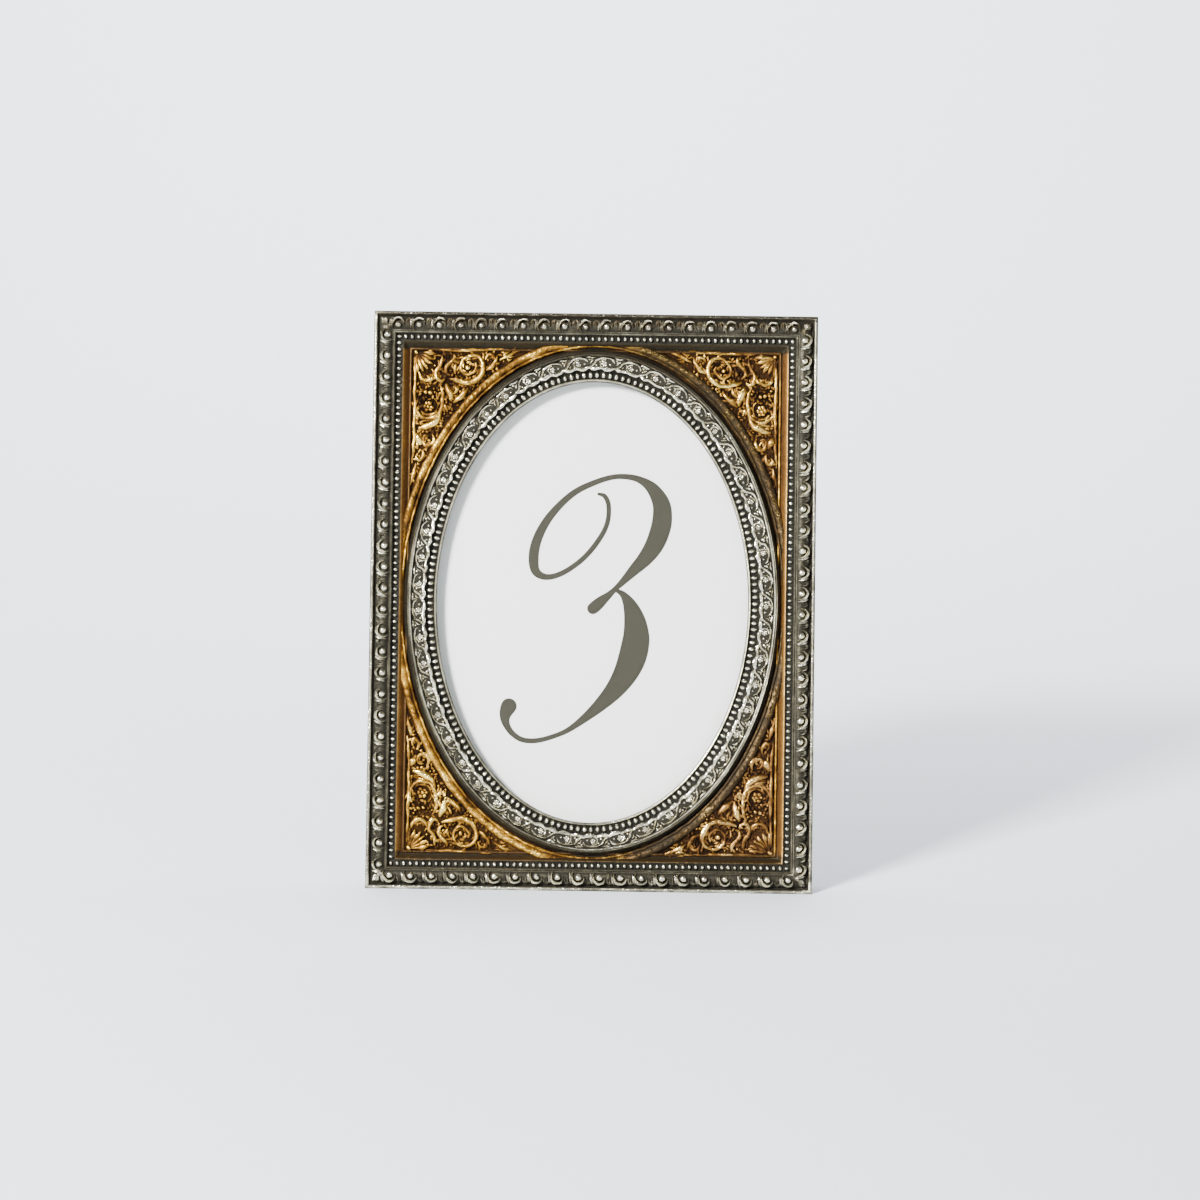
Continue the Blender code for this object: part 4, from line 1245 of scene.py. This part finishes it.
# a domed head of a screw or rivet that rises towards +y, with a slot if it has one
def domeShape(radius, height, slot=0.0):
    bm = bmesh.new()
    halves = (0, math.pi) if slot else (0,)
    for turn in halves:
        part = bmesh.new()
        size = Matrix.Diagonal((radius, height, radius, 1))
        bmesh.ops.create_uvsphere(part, u_segments=24, v_segments=12, radius=1,
                                  matrix=size @ Matrix.Rotation(math.pi / 2, 4, "X"))
        cuts = [((0, 0, 0), (0, 1, 0))] + ([((0, 0, slot), (0, 0, 1))] if slot else [])
        for point, normal in cuts:
            everything = list(part.verts) + list(part.edges) + list(part.faces)
            bmesh.ops.bisect_plane(part, geom=everything, plane_co=point, plane_no=normal,
                                   clear_inner=True)
            gap = [e for e in part.edges if e.is_boundary]
            bmesh.ops.holes_fill(part, edges=gap, sides=0)
        half = meshOf(part)
        addCopy(bm, half, Matrix.Rotation(turn, 4, "Y"))
        bpy.data.meshes.remove(half)
    if slot:
        place = Matrix.Translation((0, height * 0.2, 0)) @ Matrix.Rotation(math.pi / 2, 4, "X")
        bmesh.ops.create_cone(bm, cap_ends=True, segments=24, radius1=radius * 0.9,
                              radius2=radius * 0.9, depth=height * 0.4, matrix=place)
    return meshOf(bm)


def shankShape(radius, length):
    bm = bmesh.new()
    place = Matrix.Translation((0, -length / 2, 0)) @ Matrix.Rotation(math.pi / 2, 4, "X")
    bmesh.ops.create_cone(bm, cap_ends=True, segments=16, radius1=radius, radius2=radius,
                          depth=length, matrix=place)
    return meshOf(bm)


def buildTurnButtons():
    button = turnButtonShape()
    fastener = joined([domeShape(*screw["head"], slot=screw["slot"]), shankShape(*screw["shank"])])
    for name, slotTurn in screw["turns"].items():
        side, level = name.split("_")
        sign = -1 if side == "left" else 1
        x, z = sign * turnButton["screwX"], turnButton["heights"][level]
        bm = bmesh.new()
        addCopy(bm, button, spot(x, z, turnButton["depth"][0], 0, 1, -sign))
        plate = finishPiece("turnButton_" + name, bm, hardware, body="turn_button_" + name,
                            sharp=35)
        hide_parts("turn_button_" + name)
        bm = bmesh.new()
        seat = turnButton["depth"][1] + screw["lift"]
        addCopy(bm, fastener, spot(x, z, seat, math.radians(slotTurn)))
        head = finishPiece("turnScrew_" + name, bm, screwSteel, sharp=35)
        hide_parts("turn_screw_" + name)


# domed rivets, each set where the plain one's head sits
def buildRivets():
    head = rivet["head"][1]
    fastener = joined([domeShape(*rivet["head"]), shankShape(*rivet["shank"])])
    lie = {"back": upright.inverted(), "strut": Matrix.Rotation(leanAngle, 4, "X")}
    for leaf, turn in lie.items():
        for side in ("left", "right"):
            node = f"{leaf}_rivet_{side}"
            points = [turn.inverted() @ v.co for v in frame["nodes"][node].data.vertices]
            low, high = (Vector([pick(p[i] for p in points) for i in range(3)])
                         for pick in (min, max))
            seat = Vector(((low.x + high.x) / 2, high.y - head * mm, (low.z + high.z) / 2))
            bm = bmesh.new()
            addCopy(bm, fastener, turn @ Matrix.Translation(seat) @ Matrix.Scale(mm, 4))
            piece = finishPiece(f"{leaf}Rivet_{side}", bm, screwSteel, place=Matrix(),
                                body="frame" if leaf == "back" else "strut",
                                sharp=35)
            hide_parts(node)


strut = {
    "topDrop": 2.8,  # of its upper edge below the pin
    "halfWidths": (18.0, 28.0),  # at the top and at the foot
    "cover": (-0.9, 1.85),  # from where to where out of the pin the velvet reaches
    "wrap": 0.35,  # how far it stands off the board's edges
    "edge": 0.45,  # rounding where it turns over
    "footGap": 0.6,  # clear of the table
}


# velvet glued on the outer face of the strut and turned over its top and side edges
def buildStrutCover():
    low, high = strut["cover"]
    footDrop = -strutPlace.translation.z / math.cos(leanAngle) / mm
    foot = footDrop - math.tan(leanAngle) * high + strut["footGap"]
    top = -strut["topDrop"] + strut["wrap"]
    topHalf, footHalf = (half + strut["wrap"] for half in strut["halfWidths"])
    bm = bmesh.new()
    outline = [(-footHalf, foot), (footHalf, foot), (topHalf, top), (-topHalf, top)]
    face = bm.faces.new([bm.verts.new((x, high, z)) for x, z in outline])
    turned = list(face.edges)[1:]
    grown = bmesh.ops.extrude_edge_only(bm, edges=turned)["geom"]
    bmesh.ops.translate(bm, verts=[g for g in grown if isinstance(g, bmesh.types.BMVert)],
                        vec=(0, low - high, 0))
    bmesh.ops.recalc_face_normals(bm, faces=bm.faces)
    bmesh.ops.bevel(bm, geom=turned, offset=strut["edge"], affect="EDGES", segments=3,
                    profile=0.5, material=-1)
    bmesh.ops.solidify(bm, geom=bm.faces[:], thickness=strut["wrap"] * 0.9)
    piece = finishPiece("strutVelvetCover", bm, velvet, place=strutPlace @ Matrix.Scale(mm, 4),
                        body="strut", sharp=25)
    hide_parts("strut_velvet")


ribbon = {
    "halfWidth": 5.0,
    "thickness": 0.3,
    # (y, z) of its middle line: stapled to the back, across, and stapled to the strut
    "line": [(-11.11, 64.52), (-12.98, 55.72), (26.28, 49.11), (24.41, 57.91)],
    "bend": 0.9,  # how far before a corner it starts to turn
    "selvedge": 0.86,  # where the firm edge starts, against the half width
    "pieceLength": 1.2,
    "flat": (0.010, 0.0578),
}


# a line through corners, each one rounded off
def roundedLine(corners, bend, steps=5):
    points = [corners[0]]
    for a, b, c in zip(corners, corners[1:], corners[2:]):
        start = b + (a - b).normalized() * bend
        end = b + (c - b).normalized() * bend
        points += [(start * (1 - t) ** 2 + b * 2 * t * (1 - t) + end * t * t)
                   for t in (i / steps for i in range(steps + 1))]
    points.append(corners[-1])
    return points


def buildRibbon():
    half = ribbon["halfWidth"]
    line = roundedLine([Vector((0, y, z)) for y, z in ribbon["line"]], ribbon["bend"])
    fine = []
    for a, b in zip(line, line[1:]):
        pieces = max(1, round((b - a).length / ribbon["pieceLength"]))
        fine += [a.lerp(b, i / pieces) for i in range(pieces)]
    fine.append(line[-1])
    bm = bmesh.new()
    inner = ribbon["selvedge"]
    row = [bm.verts.new((x * half, fine[0].y, fine[0].z)) for x in (-1, -inner, inner, 1)]
    edges = [bm.edges.new(pair) for pair in zip(row, row[1:])]
    for a, b in zip(fine, fine[1:]):
        edges = growLoop(bm, edges, Matrix.Translation(b - a))
    bmesh.ops.recalc_face_normals(bm, faces=bm.faces)
    bmesh.ops.solidify(bm, geom=bm.faces[:], thickness=ribbon["thickness"])
    piece = finishPiece("ribbonStay", bm, satinMaterial(), place=Matrix.Scale(mm, 4), body=None,
                        sharp=50)
    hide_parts("ribbon_stay")
    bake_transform(piece)


print("card and glass")
buildNumeral()
setMaterial("number_card", paperMaterial("whiteCard", (0.80, 0.80, 0.765), 0.97))
setMaterial("filler_card", paperMaterial("greyBoard", (0.42, 0.40, 0.36), 0.8))
setMaterial("glass_pane", glassMaterial())

print("back")
hardware = brassMaterial("brassedSteel", (0.58, 0.41, 0.17), (0.30, 0.20, 0.085))
screwSteel = brassMaterial("brassedScrew", (0.46, 0.33, 0.14), (0.20, 0.135, 0.065))
fibreboard = woodFibreMaterial()
velvet = velvetMaterial("blackVelvet")
for name in ("back_board", "strut_board"):
    setMaterial(name, fibreboard)
setMaterial("back_velvet", velvet)
for name in frame["nodes"]:
    if name.startswith(("hinge", "ribbon_staple")):
        setMaterial(name, hardware)
buildTurnButtons()
buildRivets()
buildStrutCover()
buildRibbon()


# a floor that sweeps up into a wall, in metres
stage = {
    "halfWidth": 3,
    "front": -1.2,
    "floor": 1.9,  # length of the flat part
    "sweep": 0.6,  # radius
    "steps": 16,
    "wall": 2.2,
    "tone": (0.63, 0.66, 0.70, 1),
}


def buildStage():
    bm = bmesh.new()
    row = [bm.verts.new((side * stage["halfWidth"], stage["front"], 0)) for side in (-1, 1)]
    edges = [bm.edges.new(row)]
    edges = growLoop(bm, edges, Matrix.Translation((0, stage["floor"], 0)))
    bend = math.pi / 2 / stage["steps"]
    for i in range(stage["steps"]):
        angle = (i + 0.5) * bend
        step = Vector((0, math.cos(angle), math.sin(angle))) * stage["sweep"] * bend
        edges = growLoop(bm, edges, Matrix.Translation(step))
    growLoop(bm, edges, Matrix.Translation((0, 0, stage["wall"])))
    mesh = meshOf(bm, "backdrop")
    mesh.shade_smooth()
    floor = bpy.data.objects.new("backdrop", mesh)
    bpy.context.scene.collection.objects.link(floor)
    material, tree, shader = newMaterial("paleBackdrop")
    setShader(tree, shader, Base_Color=stage["tone"], Roughness=0.9)
    mesh.materials.append(material)


light = {
    "world": (0.86, 0.90, 1.0, 1),
    "worldStrength": 0.26,
    # name: place, size, watts, colour, and what it looks at if not the front's middle
    "lamps": {
        "key": ((-0.95, -1.2, 0.95), (0.35, 0.35), 136, (1, 1, 1), None),
        "fill": ((0.9, -1.4, 0.5), (0.9, 0.9), 9, (0.95, 0.97, 1), None),
        "top": ((0, 0.6, 1.4), (1.6, 0.8), 70, (1, 1, 1), (0, 1.5, 0.4)),
    },
}


def addLamp(name, place, size, power, colour, target):
    data = bpy.data.lights.new(name, "AREA")
    data.shape = "RECTANGLE"
    data.size, data.size_y = size
    data.energy = power
    data.color = colour
    lamp = bpy.data.objects.new(name, data)
    lamp.location = place
    lamp.rotation_euler = (Vector(target) - Vector(place)).to_track_quat("-Z", "Y").to_euler()
    bpy.context.scene.collection.objects.link(lamp)


view = {
    "target": (2.9 * mm, 6 * mm, 0.7 * mm),  # right, deep and up from the middle of the front
    "distance": 1.30,
    "elevation": 9.6,
    "lens": 101.3,
    "roll": 0.8,
}


def buildCamera():
    centre = frontPlace @ Vector(view["target"])
    elevation = math.radians(view["elevation"])
    back = Vector((0, -math.cos(elevation), math.sin(elevation)))
    data = bpy.data.cameras.new("camera")
    data.lens = view["lens"]
    camera = bpy.data.objects.new("camera", data)
    turn = (-back).to_track_quat("-Z", "Y").to_matrix().to_4x4()
    camera.matrix_world = (Matrix.Translation(centre + back * view["distance"]) @ turn
                           @ Matrix.Rotation(math.radians(view["roll"]), 4, "Z"))
    bpy.context.scene.collection.objects.link(camera)
    bpy.context.scene.camera = camera
    return centre


def buildWorld():
    world = bpy.data.worlds.new("studio")
    world.use_nodes = True
    background = world.node_tree.nodes["Background"]
    background.inputs["Color"].default_value = light["world"]
    background.inputs["Strength"].default_value = light["worldStrength"]
    bpy.context.scene.world = world


print("stage")
buildStage()
centre = buildCamera()
buildWorld()
for name, (place, size, power, colour, target) in light["lamps"].items():
    addLamp(name, place, size, power, colour, target or centre)
